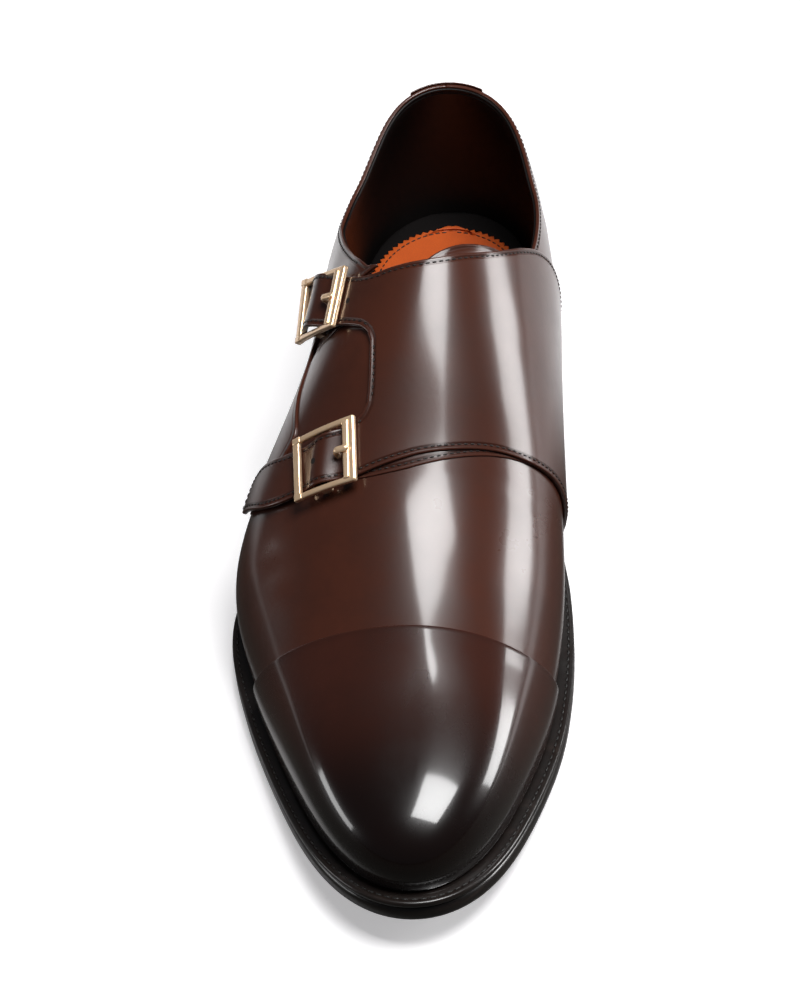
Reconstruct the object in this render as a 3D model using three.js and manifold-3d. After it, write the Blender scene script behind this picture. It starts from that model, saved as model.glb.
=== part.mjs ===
// Monk strap shoe for the right foot, double strap with a straight toe cap.
// Millimetres, +Z up, toe towards -Y, inner (medial) side towards +X, standing on z = 0.
import * as THREE from 'three';
import { mergeVertices } from 'three/addons/utils/BufferGeometryUtils.js';
import Module from 'manifold-3d';

const wasm = await Module();
wasm.setup();

// ---- driving dimensions -------------------------------------------------------------------
const LAST_LENGTH = 287;
const HEEL_ROUND = 40;
const HEEL_SQUARENESS = 2.3;
const TOE_ROUND = 78;
const TOE_SQUARENESS = 2;
const UPPER_WALL = 2;
const GAP = 0.3;
const OUTSOLE = 5.5;
const WELT = 2.5;
const INSOLE = 5.2;
const TOP_LIFT = 6;
const HEEL_BREAST = 72;
const HEEL_MARGIN = { top: 2.3, bottom: 1.3, floor: 1 };
const OUTSOLE_TAPER = 0.6;
const WELT_INSET = 3;
const INSOLE_INSET = { top: 2.7, bottom: 5 };
const CAP_SEAM = 215.3;
const CAP_SWEEP = 10;
const CAP_SWEEP_REACH = 45;
const CAP_WALL = 1.2;
const CAP_FOOT = 0.03;
const STRAP_WALL = 2;
const STRAP_LIFT = 0.4;
const TONGUE_WALL = 1.8;
const TONGUE_DEPTH = UPPER_WALL + 1.5;
const BAR = 1.6;
const BAR_CLEARANCE = 1.1;
const PRONG_RADIUS = 0.8;
const PRONG_HOLE = { along: 4.6, radius: 1.4, depth: 9 };

// The section lines fan out over the heel and the toe, each from where its fan begins.
const FAN = { toe: 205, toeReach: 0.62, heel: 60, heelReach: 0.93 };

// The last, one row for each section counted from the heel back: centre line, half width at the
// feather edge, ridge height, ridge shift, how far each wall swells, and two fullness shares.
const LAST = {
  t:       [0, 30, 70, 105, 140, 170, 200, 225, 250, 287],
  centre:  [2, 2, 1, 1, -2, -5.5, -3, 0, 2.2, 5.7],
  half:    [30, 30.5, 31, 33, 40.5, 48, 45.8, 40.7, 36.7, 34.5],
  ridge:   [140, 138, 131, 113, 92, 72, 58, 49.5, 45, 38],
  shift:   [3, 6, 9, 5, 4, 5, 5, 5, 5.5, 7],
  outer:   [9, 6, 20, 16, 17, 15, 9.5, 6, 3.5, 4],
  inner:   [9, 11.5, 26, 25, 20, 15, 10.5, 7.5, 6, 4],
  rise:    [0.42, 0.42, 0.4, 0.42, 0.5, 0.5, 0.52, 0.6, 0.72, 0.78],
  crown:   [0.23, 0.15, 0.32, 0.6, 0.62, 0.58, 0.58, 0.7, 0.86, 0.92],
};

// Underside of the outsole: seat on the heel, arch, tread on the floor, toe spring.
const UNDERSIDE = {
  t: [-8, 0, 40, 72, 100, 130, 160, 185, 200, 215, 235, 260, 287, 300],
  z: [26, 25.6, 25, 24.5, 20, 11.5, 4, 0.4, -0.3, -0.3, 1.2, 4.8, 10.2, 13],
};

// How far welt and outsole stand out past the feather edge.
const EDGE = {
  t: [0, 60, 80, 120, 160, 200, 287],
  margin: [2.5, 2.5, 2.5, 3, 5.5, 6, 6.5],
};

// Collar height on both sides, up to the front corners of the opening.
const COLLAR = {
  t: [0, 25, 45, 60, 78, 95, 104],
  outer: [93.5, 88, 83, 82.5, 89, 96.5, 101],
  inner: [93.5, 90, 87, 86.5, 88.5, 93, 102],
};

// Slot under the straps, from the collar's front corners to the vamp's top edge.
const SLOT = { corner: 104, start: 112, bend: 150, end: 165, outer: 0.92, inner: 0.8 };

// Strap panel: back and front edge at each share round the last, from the outer welt at -1
// over the ridge at 0 to the inner welt at 1.
const BAND = {
  g:     [-0.145, 0.02, 0.17, 0.32, 0.49, 0.63, 0.8, 0.97],
  back:  [113.2, 112.6, 108.4, 101, 88.3, 80, 77, 76],
  front: [169, 165, 161.8, 158.1, 154.5, 151.4, 149, 147],
};
const REAR_STRAP = {
  g:     [-0.75, -0.72, -0.63, -0.48, -0.33, -0.2, -0.17, -0.145],
  back:  [92, 89.5, 91.5, 101, 109, 112.4, 112.8, 113.2],
  front: [94, 97, 104.5, 113.5, 121.5, 127, 128.5, 132],
};
const FRONT_STRAP = {
  g:     [-0.71, -0.68, -0.64, -0.53, -0.42, -0.3, -0.2, -0.17, -0.145],
  back:  [154.5, 151.5, 150.5, 152.5, 155.6, 156.2, 155, 153.5, 150],
  front: [156.5, 159, 161, 166, 169.1, 169.5, 169.3, 169.2, 169],
};

// Buckle corners on the last as [t, g]: outer end back and front, inner end back and front.
const BUCKLES = {
  front: {
    outerBack: [153.3, -0.4],
    outerFront: [172.2, -0.35],
    innerBack: [153.4, -0.165],
    innerFront: [171.4, -0.135],
  },
  rear: {
    outerBack: [88.5, -0.62],
    outerFront: [108, -0.64],
    innerBack: [105.2, -0.333],
    innerFront: [124.3, -0.322],
  },
};
const BUCKLE = { length: 22, width: 20, rail: 1.8, outerBar: 2.6, innerBar: 4, thick: 2 };
const BUCKLE_CLEARANCE = 0.6;

// ---- small mathematics --------------------------------------------------------------------
const clamp = (value, low, high) => Math.min(Math.max(value, low), high);
const mix = (a, b, share) => a + (b - a) * share;
const smooth = (share) => share * share * (3 - 2 * share);

// Natural cubic spline through a short table.
function spline(xs, ys) {
  const n = xs.length;
  const bend = new Array(n).fill(0);
  const carry = new Array(n).fill(0);
  for (let i = 1; i < n - 1; i++) {
    const h0 = xs[i] - xs[i - 1];
    const h1 = xs[i + 1] - xs[i];
    const rhs = 6 * ((ys[i + 1] - ys[i]) / h1 - (ys[i] - ys[i - 1]) / h0);
    const pivot = 2 * (h0 + h1) - h0 * carry[i - 1];
    carry[i] = h1 / pivot;
    bend[i] = (rhs - h0 * bend[i - 1]) / pivot;
  }
  for (let i = n - 2; i > 0; i--) {
    bend[i] -= carry[i] * bend[i + 1];
  }
  return (x) => {
    let i = 0;
    while (i < n - 2 && x > xs[i + 1]) {
      i++;
    }
    const h = xs[i + 1] - xs[i];
    const a = (xs[i + 1] - x) / h;
    const b = 1 - a;
    const curve = ((a ** 3 - a) * bend[i] + (b ** 3 - b) * bend[i + 1]) * h * h / 6;
    return a * ys[i] + b * ys[i + 1] + curve;
  };
}

// Straight lines through a short table, level past its ends.
function polyline(xs, ys) {
  return (x) => {
    if (x <= xs[0]) {
      return ys[0];
    }
    const i = xs.findIndex((value) => value >= x);
    if (i < 0) {
      return ys[ys.length - 1];
    }
    return mix(ys[i - 1], ys[i], (x - xs[i - 1]) / (xs[i] - xs[i - 1]));
  };
}

const section = {};
for (const name of ['centre', 'half', 'ridge', 'shift', 'outer', 'inner', 'rise', 'crown']) {
  section[name] = spline(LAST.t, LAST[name]);
}
const underside = spline(UNDERSIDE.t, UNDERSIDE.z);
const treadZ = (t) => Math.max(underside(t), 0);
const edgeMargin = polyline(EDGE.t, EDGE.margin);
const FEATHER = OUTSOLE + WELT + 2 * GAP;
const featherZ = (t) => treadZ(t) + FEATHER;

// ---- the last -----------------------------------------------------------------------------
const sigmaOf = (t) => Math.acos(1 - 2 * clamp(t / LAST_LENGTH, 0, 1)) / Math.PI;
const stationOf = (sigma) => LAST_LENGTH * (1 - Math.cos(Math.PI * sigma)) / 2;

const RIDGE_OVERRUN = 12;
const FAN_END = { sigma: 0.97, aside: 0.02 };

// Width share left after the round of the heel and of the toe.
function closure(t) {
  const heel = clamp(1 - t / HEEL_ROUND, 0, 1) ** HEEL_SQUARENESS;
  const toe = clamp(1 - (LAST_LENGTH - t) / TOE_ROUND, 0, 1) ** TOE_SQUARENESS;
  return Math.sqrt(Math.max(1 - heel, 0) * Math.max(1 - toe, 0));
}

// Where a section line that starts at t on the feather edge reaches the ridge.
function ridgeStation(t) {
  const toe = Math.max(t - FAN.toe, 0) ** 2 / (2 * (LAST_LENGTH - FAN.toe));
  const heel = Math.max(FAN.heel - t, 0) ** 2 / (2 * FAN.heel);
  return t - FAN.toeReach * toe + FAN.heelReach * heel;
}

const featherX = (t, side) => section.centre(t) + side * section.half(t) * closure(t);

// A point of the last: sigma runs heel to toe, g from the outer edge at -1 over the ridge
// to the inner edge at 1.
function lastSurface(sigmaIn, gIn) {
  const outside = sigmaIn < 0 || sigmaIn > 1;
  const sigma = sigmaIn < 0 ? -sigmaIn : (sigmaIn > 1 ? 2 - sigmaIn : sigmaIn);
  const g = outside ? -gIn : gIn;
  const side = g < 0 ? -1 : 1;
  const v = 1 - Math.abs(g);
  const t = stationOf(sigma);
  const ridgeT = ridgeStation(t);
  const ridgeX = section.centre(ridgeT) + section.shift(ridgeT) * closure(ridgeT);
  const drop = section.ridge(t) - featherZ(t);
  const dx = featherX(t, side) - ridgeX;
  const dt = t - ridgeT;
  const reach = Math.hypot(dx, dt) + 1e-9;
  const swell = side < 0 ? section.outer(t) : section.inner(t);
  const b = [(1 - v) ** 3, 3 * (1 - v) ** 2 * v, 3 * (1 - v) * v * v, v ** 3];
  const out = b[0] * reach + b[1] * (reach + swell) + b[2] * section.crown(t) * reach;
  const height = b[1] * section.rise(t) + b[2] + b[3];
  const at = ridgeT + dt / reach * out;
  const z = section.ridge(clamp(at, -RIDGE_OVERRUN, LAST_LENGTH + RIDGE_OVERRUN)) - (1 - height) * drop;
  return new THREE.Vector3(ridgeX + dx / reach * out, -at, z);
}

// Where the fan of section lines closes at the toe, the slope is read a little to one side.
function lastNormal(sigma, gIn) {
  const step = 1e-3;
  const g = sigma > FAN_END.sigma && Math.abs(gIn) < FAN_END.aside ? FAN_END.aside : gIn;
  const along = lastSurface(sigma + step, g).sub(lastSurface(sigma - step, g));
  const round = lastSurface(sigma, Math.min(g + step, 1)).sub(lastSurface(sigma, Math.max(g - step, -1)));
  return along.cross(round).normalize();
}

// A point at a distance from the last, 0 being the outside of the upper.
function lastPoint(t, g, offset) {
  const sigma = sigmaOf(t);
  return lastSurface(sigma, g).addScaledVector(lastNormal(sigma, g), offset);
}

// ---- sheets and solids --------------------------------------------------------------------
// A sheet is a net of nodes and faces that becomes a solid between two placings of its nodes.
class Sheet {
  constructor(keyOf) {
    this.keyOf = keyOf;
    this.nodes = [];
    this.faces = [];
    this.ids = new Map();
  }

  node(a, b) {
    const key = this.keyOf(a, b);
    if (!this.ids.has(key)) {
      this.ids.set(key, this.nodes.length);
      this.nodes.push([a, b]);
    }
    return this.ids.get(key);
  }

  face(a, b, c) {
    if (a !== b && b !== c && c !== a) {
      this.faces.push([a, b, c]);
    }
  }

  // Rows run heel to toe and columns from the outer to the inner side.
  grid(rows, columns, place) {
    const ids = rows.map((row) => columns.map((column) => this.node(...place(row, column))));
    for (let i = 0; i + 1 < rows.length; i++) {
      for (let j = 0; j + 1 < columns.length; j++) {
        this.face(ids[i][j], ids[i + 1][j], ids[i + 1][j + 1]);
        this.face(ids[i][j], ids[i + 1][j + 1], ids[i][j + 1]);
      }
    }
  }
}

function meshGeometry(points, faces) {
  const geometry = new THREE.BufferGeometry();
  const coordinates = points.flatMap((p) => p.toArray());
  geometry.setAttribute('position', new THREE.Float32BufferAttribute(coordinates, 3));
  geometry.setIndex(faces.flat());
  geometry.computeVertexNormals();
  return geometry;
}

// The closed solid between the outer and the inner placing of a sheet.
function solidBetween(sheet, outer, inner) {
  const count = sheet.nodes.length;
  const points = [...sheet.nodes.map((n) => outer(...n)), ...sheet.nodes.map((n) => inner(...n))];
  const faces = [];
  const edges = new Set();
  for (const [a, b, c] of sheet.faces) {
    faces.push([a, b, c], [a + count, c + count, b + count]);
    edges.add(`${a},${b}`).add(`${b},${c}`).add(`${c},${a}`);
  }
  for (const edge of edges) {
    const [a, b] = edge.split(',').map(Number);
    if (!edges.has(`${b},${a}`)) {
      faces.push([b, a, a + count], [b, a + count, b + count]);
    }
  }
  return meshGeometry(points, faces);
}

const leatherSheet = () => new Sheet((t, g) => {
  const p = lastPoint(t, g, 0);
  return [p.x, p.y, p.z].map((value) => Math.round(value * 100)).join(',');
});
const offsetSolid = (sheet, outer, inner) => solidBetween(
  sheet,
  (t, g) => lastPoint(t, g, outer),
  (t, g) => lastPoint(t, g, inner),
);
const range = (count, low, high) => Array.from({ length: count + 1 }, (_, i) => mix(low, high, i / count));

// ---- sole ---------------------------------------------------------------------------------
// Feather edge moved outwards in plan by a margin.
function outline(sigma, side, margin) {
  const at = (s) => {
    const flipped = s < 0 || s > 1;
    const inside = s < 0 ? -s : (s > 1 ? 2 - s : s);
    const t = stationOf(inside);
    return [featherX(t, flipped ? -side : side), t];
  };
  const [x0, t0] = at(sigma - 1e-4);
  const [x1, t1] = at(sigma + 1e-4);
  const [x, t] = at(sigma);
  const length = Math.hypot(x1 - x0, t1 - t0);
  return [x + side * margin * (t1 - t0) / length, t - side * margin * (x1 - x0) / length];
}

// A flat layer of the sole; each level has a margin and a height, both worked out from t.
function layer(sigmas, columns, top, bottom) {
  const sheet = new Sheet((sigma, u) => (sigma <= 0 || sigma >= 1 ? `${sigma}` : `${sigma},${u}`));
  sheet.grid(sigmas, range(columns, -1, 1), (sigma, u) => [sigma, u]);
  const place = (level) => (sigma, u) => {
    const margin = level.margin(stationOf(sigma));
    const [xo, to] = outline(sigma, -1, margin);
    const [xi, ti] = outline(sigma, 1, margin);
    const share = (u + 1) / 2;
    const t = mix(to, ti, share);
    return new THREE.Vector3(mix(xo, xi, share), -t, level.z(t));
  };
  return solidBetween(sheet, place(top), place(bottom));
}

const soleSigmas = range(44, 0, 1);
const heelSigmas = range(14, 0, sigmaOf(HEEL_BREAST));

function makeOutsole() {
  return layer(
    soleSigmas,
    6,
    { margin: edgeMargin, z: (t) => treadZ(t) + OUTSOLE },
    { margin: (t) => edgeMargin(t) - OUTSOLE_TAPER, z: treadZ },
  );
}

function makeWelt() {
  const steps = soleSigmas.length - 1;
  const sheet = new Sheet((ring, u) => `${ring},${u}`);
  const rings = range(2 * steps, 0, 2 * steps).map(Math.round);
  sheet.grid(rings, [1, 0], (ring, u) => [ring % (2 * steps), u]);
  const place = (lift) => (ring, u) => {
    const side = ring <= steps ? -1 : 1;
    const sigma = soleSigmas[ring <= steps ? ring : 2 * steps - ring];
    const [x, t] = outline(sigma, side, u ? edgeMargin(stationOf(sigma)) : -WELT_INSET);
    return new THREE.Vector3(x, -t, treadZ(t) + OUTSOLE + GAP + lift);
  };
  return solidBetween(sheet, place(WELT), place(0));
}

function makeInsole() {
  const base = OUTSOLE + GAP;
  return layer(
    soleSigmas,
    4,
    { margin: () => -INSOLE_INSET.top, z: (t) => treadZ(t) + base + INSOLE },
    { margin: () => -INSOLE_INSET.bottom, z: (t) => treadZ(t) + base },
  );
}

// The heel narrows a little towards the floor.
function makeHeelStack() {
  return layer(
    heelSigmas,
    4,
    { margin: () => HEEL_MARGIN.top, z: (t) => treadZ(t) - GAP },
    { margin: () => HEEL_MARGIN.bottom, z: () => TOP_LIFT + GAP },
  );
}

function makeTopLift() {
  return layer(
    heelSigmas,
    4,
    { margin: () => HEEL_MARGIN.bottom, z: () => TOP_LIFT },
    { margin: () => HEEL_MARGIN.floor, z: () => 0 },
  );
}

// ---- upper, cap and tongue ----------------------------------------------------------------
// Section rows bend back at the sides so that one of them follows the cap's seam.
function rowStation(t, g) {
  const share = clamp(1 - ((t - CAP_SEAM) / CAP_SWEEP_REACH) ** 2, 0, 1);
  return t - CAP_SWEEP * share * share * Math.abs(g) ** 3;
}

const collarHeight = { '-1': spline(COLLAR.t, COLLAR.outer), 1: spline(COLLAR.t, COLLAR.inner) };

// Share of the way up from the feather edge at which the last reaches the collar's height.
function collarShare(t, side) {
  let low = 0;
  let high = 1;
  for (let i = 0; i < 30; i++) {
    const middle = (low + high) / 2;
    const point = lastSurface(sigmaOf(t), side * (1 - middle));
    if (point.z < collarHeight[side](t)) {
      low = middle;
    } else {
      high = middle;
    }
  }
  return low;
}

// How far up the upper reaches on each side: collar, front corner, slot, and whole from the vamp on.
function upperShare(t, side) {
  const slot = side < 0 ? SLOT.outer : SLOT.inner;
  if (t <= SLOT.corner) {
    return collarShare(t, side);
  }
  if (t <= SLOT.start) {
    const share = smooth((t - SLOT.corner) / (SLOT.start - SLOT.corner));
    return mix(collarShare(SLOT.corner, side), slot, share);
  }
  const round = clamp((t - SLOT.bend) / (SLOT.end - SLOT.bend), 0, 1);
  return 1 - (1 - slot) * Math.sqrt(1 - round * round);
}

const upperRows = [
  ...range(40, 0, 1).map(stationOf).filter((t) => Math.abs(t - CAP_SEAM) > 3),
  SLOT.corner, SLOT.start, 155, 160, 163.5, SLOT.end, CAP_SEAM,
].sort((a, b) => a - b).filter((t, i, all) => i === 0 || t - all[i - 1] > 0.25);
const upShares = range(9, 0, 1);

function upperSheet(rows, foot) {
  const sheet = leatherSheet();
  for (const side of [-1, 1]) {
    const shares = side < 0 ? upShares : [...upShares].reverse();
    sheet.grid(rows, shares, (t, share) => {
      const g = side * (1 - Math.max(share * upperShare(t, side), foot));
      return [rowStation(t, g), g];
    });
  }
  return sheet;
}

function makeUpper() {
  return offsetSolid(upperSheet(upperRows, 0), 0, -UPPER_WALL);
}

function makeToeCap() {
  const rows = upperRows.filter((t) => t >= CAP_SEAM);
  return offsetSolid(upperSheet(rows, CAP_FOOT), GAP + CAP_WALL, GAP);
}

function makeTongue() {
  const sheet = leatherSheet();
  const half = polyline([100, 108, 150, 176], [0.2, 0.34, 0.34, 0.3]);
  sheet.grid(range(10, 102, 174), range(8, -1, 1), (t, u) => [t, 0.06 + u * half(t)]);
  return offsetSolid(sheet, -TONGUE_DEPTH, -TONGUE_DEPTH - TONGUE_WALL);
}

// ---- strap panel --------------------------------------------------------------------------
// A buckle's own flat frame laid on the last: u inwards along the strap, w back across it
// and n away from the upper.
function bucklePlace(corners) {
  return (u, w, n) => {
    const along = u / BUCKLE.length + 0.5;
    const across = 0.5 - w / BUCKLE.width;
    const corner = (i) => mix(
      mix(corners.outerBack[i], corners.outerFront[i], across),
      mix(corners.innerBack[i], corners.innerFront[i], across),
      along,
    );
    return lastPoint(corner(0), corner(1), n);
  };
}

// Each strap rises over its buckle's centre bar.
function strapRise(g, corners) {
  const outerG = (corners.outerBack[1] + corners.outerFront[1]) / 2;
  const innerG = (corners.innerBack[1] + corners.innerFront[1]) / 2;
  const start = mix(outerG, innerG, (BUCKLE.outerBar + BUCKLE_CLEARANCE) / BUCKLE.length);
  const end = mix(innerG, outerG, (BUCKLE.innerBar + BUCKLE_CLEARANCE) / BUCKLE.length);
  return (BAR + BAR_CLEARANCE) * Math.sin(Math.PI * clamp((g - start) / (end - start), 0, 1)) ** 2;
}

const REAR_STRAP_LIMIT = 140;

function strapLift(t, g) {
  return STRAP_LIFT + strapRise(g, t < REAR_STRAP_LIMIT ? BUCKLES.rear : BUCKLES.front);
}

// Cells across the band: the two straps carry on from its first and last three.
const strapShares = [0, 1 / 3, 2 / 3, 1];

function strapSheet() {
  const sheet = leatherSheet();
  for (const strap of [REAR_STRAP, FRONT_STRAP]) {
    const back = polyline(strap.g, strap.back);
    const front = polyline(strap.g, strap.front);
    const columns = strap.g.flatMap((g, i, all) => {
      const cells = i + 1 < all.length ? Math.ceil((all[i + 1] - g) / 0.03) : 1;
      return i + 1 < all.length ? range(cells, g, all[i + 1]).slice(0, -1) : [g];
    });
    sheet.grid(strapShares, columns, (share, g) => [mix(back(g), front(g), share), g]);
  }
  const back = polyline(BAND.g, BAND.back);
  const front = polyline(BAND.g, BAND.front);
  const edge = BAND.g[0];
  const rearInner = REAR_STRAP.front.at(-1);
  const frontInner = FRONT_STRAP.back.at(-1);
  const full = front(edge) - back(edge);
  const shares = [
    ...strapShares.map((s) => s * (rearInner - back(edge)) / full),
    ...[0.25, 0.5, 0.75].map((s) => (mix(rearInner, frontInner, s) - back(edge)) / full),
    ...strapShares.map((s) => (mix(frontInner, front(edge), s) - back(edge)) / full),
  ];
  sheet.grid(shares, range(18, edge, BAND.g.at(-1)), (share, g) => [mix(back(g), front(g), share), g]);
  return sheet;
}

// ---- booleans -----------------------------------------------------------------------------
function toManifold(geometry) {
  const bare = geometry.clone();
  bare.deleteAttribute('normal');
  bare.deleteAttribute('uv');
  const merged = mergeVertices(bare, 1e-4);
  return new wasm.Manifold(new wasm.Mesh({
    numProp: 3,
    vertProperties: new Float32Array(merged.attributes.position.array),
    triVerts: new Uint32Array(merged.index.array),
  }));
}

function fromManifold(solid) {
  const mesh = solid.getMesh();
  const geometry = new THREE.BufferGeometry();
  geometry.setAttribute('position', new THREE.BufferAttribute(mesh.vertProperties, 3));
  geometry.setIndex(new THREE.BufferAttribute(mesh.triVerts, 1));
  geometry.computeVertexNormals();
  return geometry;
}

// Moves the vertices of a piece drawn in a buckle's flat frame onto the last.
function layDown(geometry, place) {
  const laid = geometry.clone();
  const position = laid.attributes.position;
  for (let i = 0; i < position.count; i++) {
    const p = place(position.getX(i), position.getY(i), position.getZ(i));
    position.setXYZ(i, p.x, p.y, p.z);
  }
  return laid;
}

function makeStrapPanel() {
  const sheet = strapSheet();
  const leather = solidBetween(
    sheet,
    (t, g) => lastPoint(t, g, strapLift(t, g) + STRAP_WALL),
    (t, g) => lastPoint(t, g, strapLift(t, g)),
  );
  let panel = toManifold(leather);
  for (const corners of Object.values(BUCKLES)) {
    const { along, radius, depth } = PRONG_HOLE;
    const punch = new THREE.CylinderGeometry(radius, radius, depth, 12);
    punch.rotateX(Math.PI / 2);
    punch.translate(along, 0, depth / 3);
    panel = panel.subtract(toManifold(layDown(punch, bucklePlace(corners))));
  }
  return fromManifold(panel);
}

// ---- buckles ------------------------------------------------------------------------------
const FRAME_BASE = STRAP_LIFT + STRAP_WALL + BUCKLE_CLEARANCE;

function buckleFrame() {
  const half = BUCKLE.length / 2;
  const side = BUCKLE.width / 2;
  const rectangle = (path, u0, u1, w) => {
    const ring = [];
    ring.push(...range(6, u0, u1).map((u) => [u, -w]));
    ring.push(...range(6, -w, w).map((v) => [u1, v]));
    ring.push(...range(6, u1, u0).map((u) => [u, w]));
    ring.push(...range(6, w, -w).map((v) => [u0, v]));
    ring.filter(([u, v], i, all) => i === 0 || u !== all[i - 1][0] || v !== all[i - 1][1])
      .slice(0, -1)
      .forEach(([u, v], i) => (i ? path.lineTo(u, v) : path.moveTo(u, v)));
    return path;
  };
  const shape = rectangle(new THREE.Shape(), -half, half, side);
  const hole = new THREE.Path();
  shape.holes.push(rectangle(hole, BUCKLE.outerBar - half, half - BUCKLE.innerBar, side - BUCKLE.rail));
  const frame = new THREE.ExtrudeGeometry(shape, { depth: BUCKLE.thick, bevelEnabled: false });
  frame.translate(0, 0, FRAME_BASE);
  return frame;
}

// The centre bar under the strap, held by a post at each rail.
function buckleStaple() {
  const foot = STRAP_LIFT + 0.1;
  const height = FRAME_BASE + BUCKLE.thick / 2 - foot;
  const bar = new THREE.BoxGeometry(BAR, BUCKLE.width, BAR, 1, 6, 1);
  bar.translate(0, 0, foot + BAR / 2);
  const posts = [-1, 1].map((end) => {
    const post = new THREE.BoxGeometry(BAR * 1.6, BUCKLE.rail * 0.8, height);
    post.translate(0, end * (BUCKLE.width - BUCKLE.rail) / 2, foot + height / 2);
    return post;
  });
  return [bar, ...posts];
}

function makeBuckle(corners) {
  const place = bucklePlace(corners);
  let buckle = toManifold(layDown(buckleFrame(), place));
  for (const piece of buckleStaple()) {
    buckle = buckle.add(toManifold(layDown(piece, place)));
  }
  return fromManifold(buckle);
}

// The prong comes up through the punched hole and rests over the inner end bar.
function makeProng(corners) {
  const place = bucklePlace(corners);
  const top = FRAME_BASE + BUCKLE.thick + GAP + PRONG_RADIUS;
  const hole = PRONG_HOLE.along;
  const route = [[hole, 1.6], [hole, 3.6], [hole + 0.7, top - 0.5], [7, top], [9.5, top]];
  const path = new THREE.CatmullRomCurve3(route.map(([u, n]) => place(u, 0, n)));
  const round = new THREE.Shape();
  round.absarc(0, 0, PRONG_RADIUS, 0, 2 * Math.PI);
  return new THREE.ExtrudeGeometry(round, { steps: 12, curveSegments: 4, extrudePath: path });
}

// ---- assembly -----------------------------------------------------------------------------
const finish = {
  outsole: { color: 0x1a1412, roughness: 0.35, metalness: 0 },
  heel: { color: 0x1c1512, roughness: 0.35, metalness: 0 },
  rubber: { color: 0x141414, roughness: 0.7, metalness: 0 },
  insole: { color: 0xc8641e, roughness: 0.6, metalness: 0 },
  leather: { color: 0x4a2a20, roughness: 0.3, metalness: 0 },
  capLeather: { color: 0x35201a, roughness: 0.15, metalness: 0 },
  gold: { color: 0xe6be8c, roughness: 0.2, metalness: 1 },
};

const pieces = [
  ['outsole', makeOutsole(), finish.outsole],
  ['welt', makeWelt(), finish.outsole],
  ['heel_stack', makeHeelStack(), finish.heel],
  ['top_lift', makeTopLift(), finish.rubber],
  ['insole', makeInsole(), finish.insole],
  ['upper', makeUpper(), finish.leather],
  ['toe_cap', makeToeCap(), finish.capLeather],
  ['tongue', makeTongue(), finish.leather],
  ['strap_panel', makeStrapPanel(), finish.leather],
  ['buckle_front', makeBuckle(BUCKLES.front), finish.gold],
  ['buckle_rear', makeBuckle(BUCKLES.rear), finish.gold],
  ['prong_front', makeProng(BUCKLES.front), finish.gold],
  ['prong_rear', makeProng(BUCKLES.rear), finish.gold],
];

const shoe = new THREE.Group();
const whole = new THREE.Box3();
for (const [name, geometry, look] of pieces) {
  const mesh = new THREE.Mesh(geometry, new THREE.MeshStandardMaterial(look));
  mesh.name = name;
  shoe.add(mesh);
  geometry.computeBoundingBox();
  whole.union(geometry.boundingBox);
}

// The origin is on the floor under the middle of the shoe.
shoe.position.set(-(whole.min.x + whole.max.x) / 2, -(whole.min.y + whole.max.y) / 2, 0);

export default shoe;
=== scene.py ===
import math

import bmesh
import bpy
import numpy as np
from mathutils import Matrix, Quaternion, Vector, kdtree
from mathutils.bvhtree import BVHTree


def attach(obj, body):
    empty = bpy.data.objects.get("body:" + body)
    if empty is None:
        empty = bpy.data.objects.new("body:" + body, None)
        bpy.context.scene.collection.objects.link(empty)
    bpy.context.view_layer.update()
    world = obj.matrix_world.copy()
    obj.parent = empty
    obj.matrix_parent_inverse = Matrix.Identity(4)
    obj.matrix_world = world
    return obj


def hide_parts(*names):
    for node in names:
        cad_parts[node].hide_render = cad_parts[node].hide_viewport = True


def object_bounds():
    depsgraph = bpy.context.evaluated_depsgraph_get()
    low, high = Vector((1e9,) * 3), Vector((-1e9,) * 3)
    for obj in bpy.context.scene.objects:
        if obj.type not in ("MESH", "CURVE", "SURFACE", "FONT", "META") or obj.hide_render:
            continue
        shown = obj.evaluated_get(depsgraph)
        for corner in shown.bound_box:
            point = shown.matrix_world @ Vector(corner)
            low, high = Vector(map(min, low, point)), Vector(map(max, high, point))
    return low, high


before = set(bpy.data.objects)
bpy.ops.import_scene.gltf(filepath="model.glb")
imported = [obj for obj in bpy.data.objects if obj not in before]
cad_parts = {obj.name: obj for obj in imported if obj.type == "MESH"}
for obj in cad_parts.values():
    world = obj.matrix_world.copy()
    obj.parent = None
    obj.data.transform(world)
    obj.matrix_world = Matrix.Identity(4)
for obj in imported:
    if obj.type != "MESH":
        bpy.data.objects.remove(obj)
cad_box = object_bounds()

# ---- studio -------------------------------------------------------------------------------
# The right shoe of a pair stands alone on a pale paper floor, seen from in front and above.
# An overhead softbox, a window at the inner side and a weak one at the outer side give the leather
# its highlights. The paper glows a little to the eye; reflections see it painted dark round the forepart,
# a painted shade in the leather's reflections.
MM = 0.001
scene = bpy.context.scene
scene.view_settings.view_transform = "Standard"
centre = (cad_box[0] + cad_box[1]) / 2


def principled(name):
    """A new material, its nodes and its Principled shader."""
    material = bpy.data.materials.new(name)
    material.use_nodes = True
    nodes = material.node_tree.nodes
    return material, nodes, material.node_tree.links, nodes["Principled BSDF"]


def direction(azimuth, elevation):
    """Unit vector towards a place round the shoe, azimuth 0 being in front of the toe."""
    a = math.radians(azimuth)
    e = math.radians(elevation)
    return Vector((math.sin(a) * math.cos(e), -math.cos(a) * math.cos(e), math.sin(e)))


def calculate(tree, operation, a, b, c=None):
    """A Math node whose inputs are sockets or numbers."""
    node = tree.nodes.new("ShaderNodeMath")
    node.operation = operation
    for socket, value in zip(node.inputs, (a, b, c)):
        if isinstance(value, bpy.types.NodeSocket):
            tree.links.new(value, socket)
        elif value is not None:
            socket.default_value = value
    return node.outputs[0]


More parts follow.
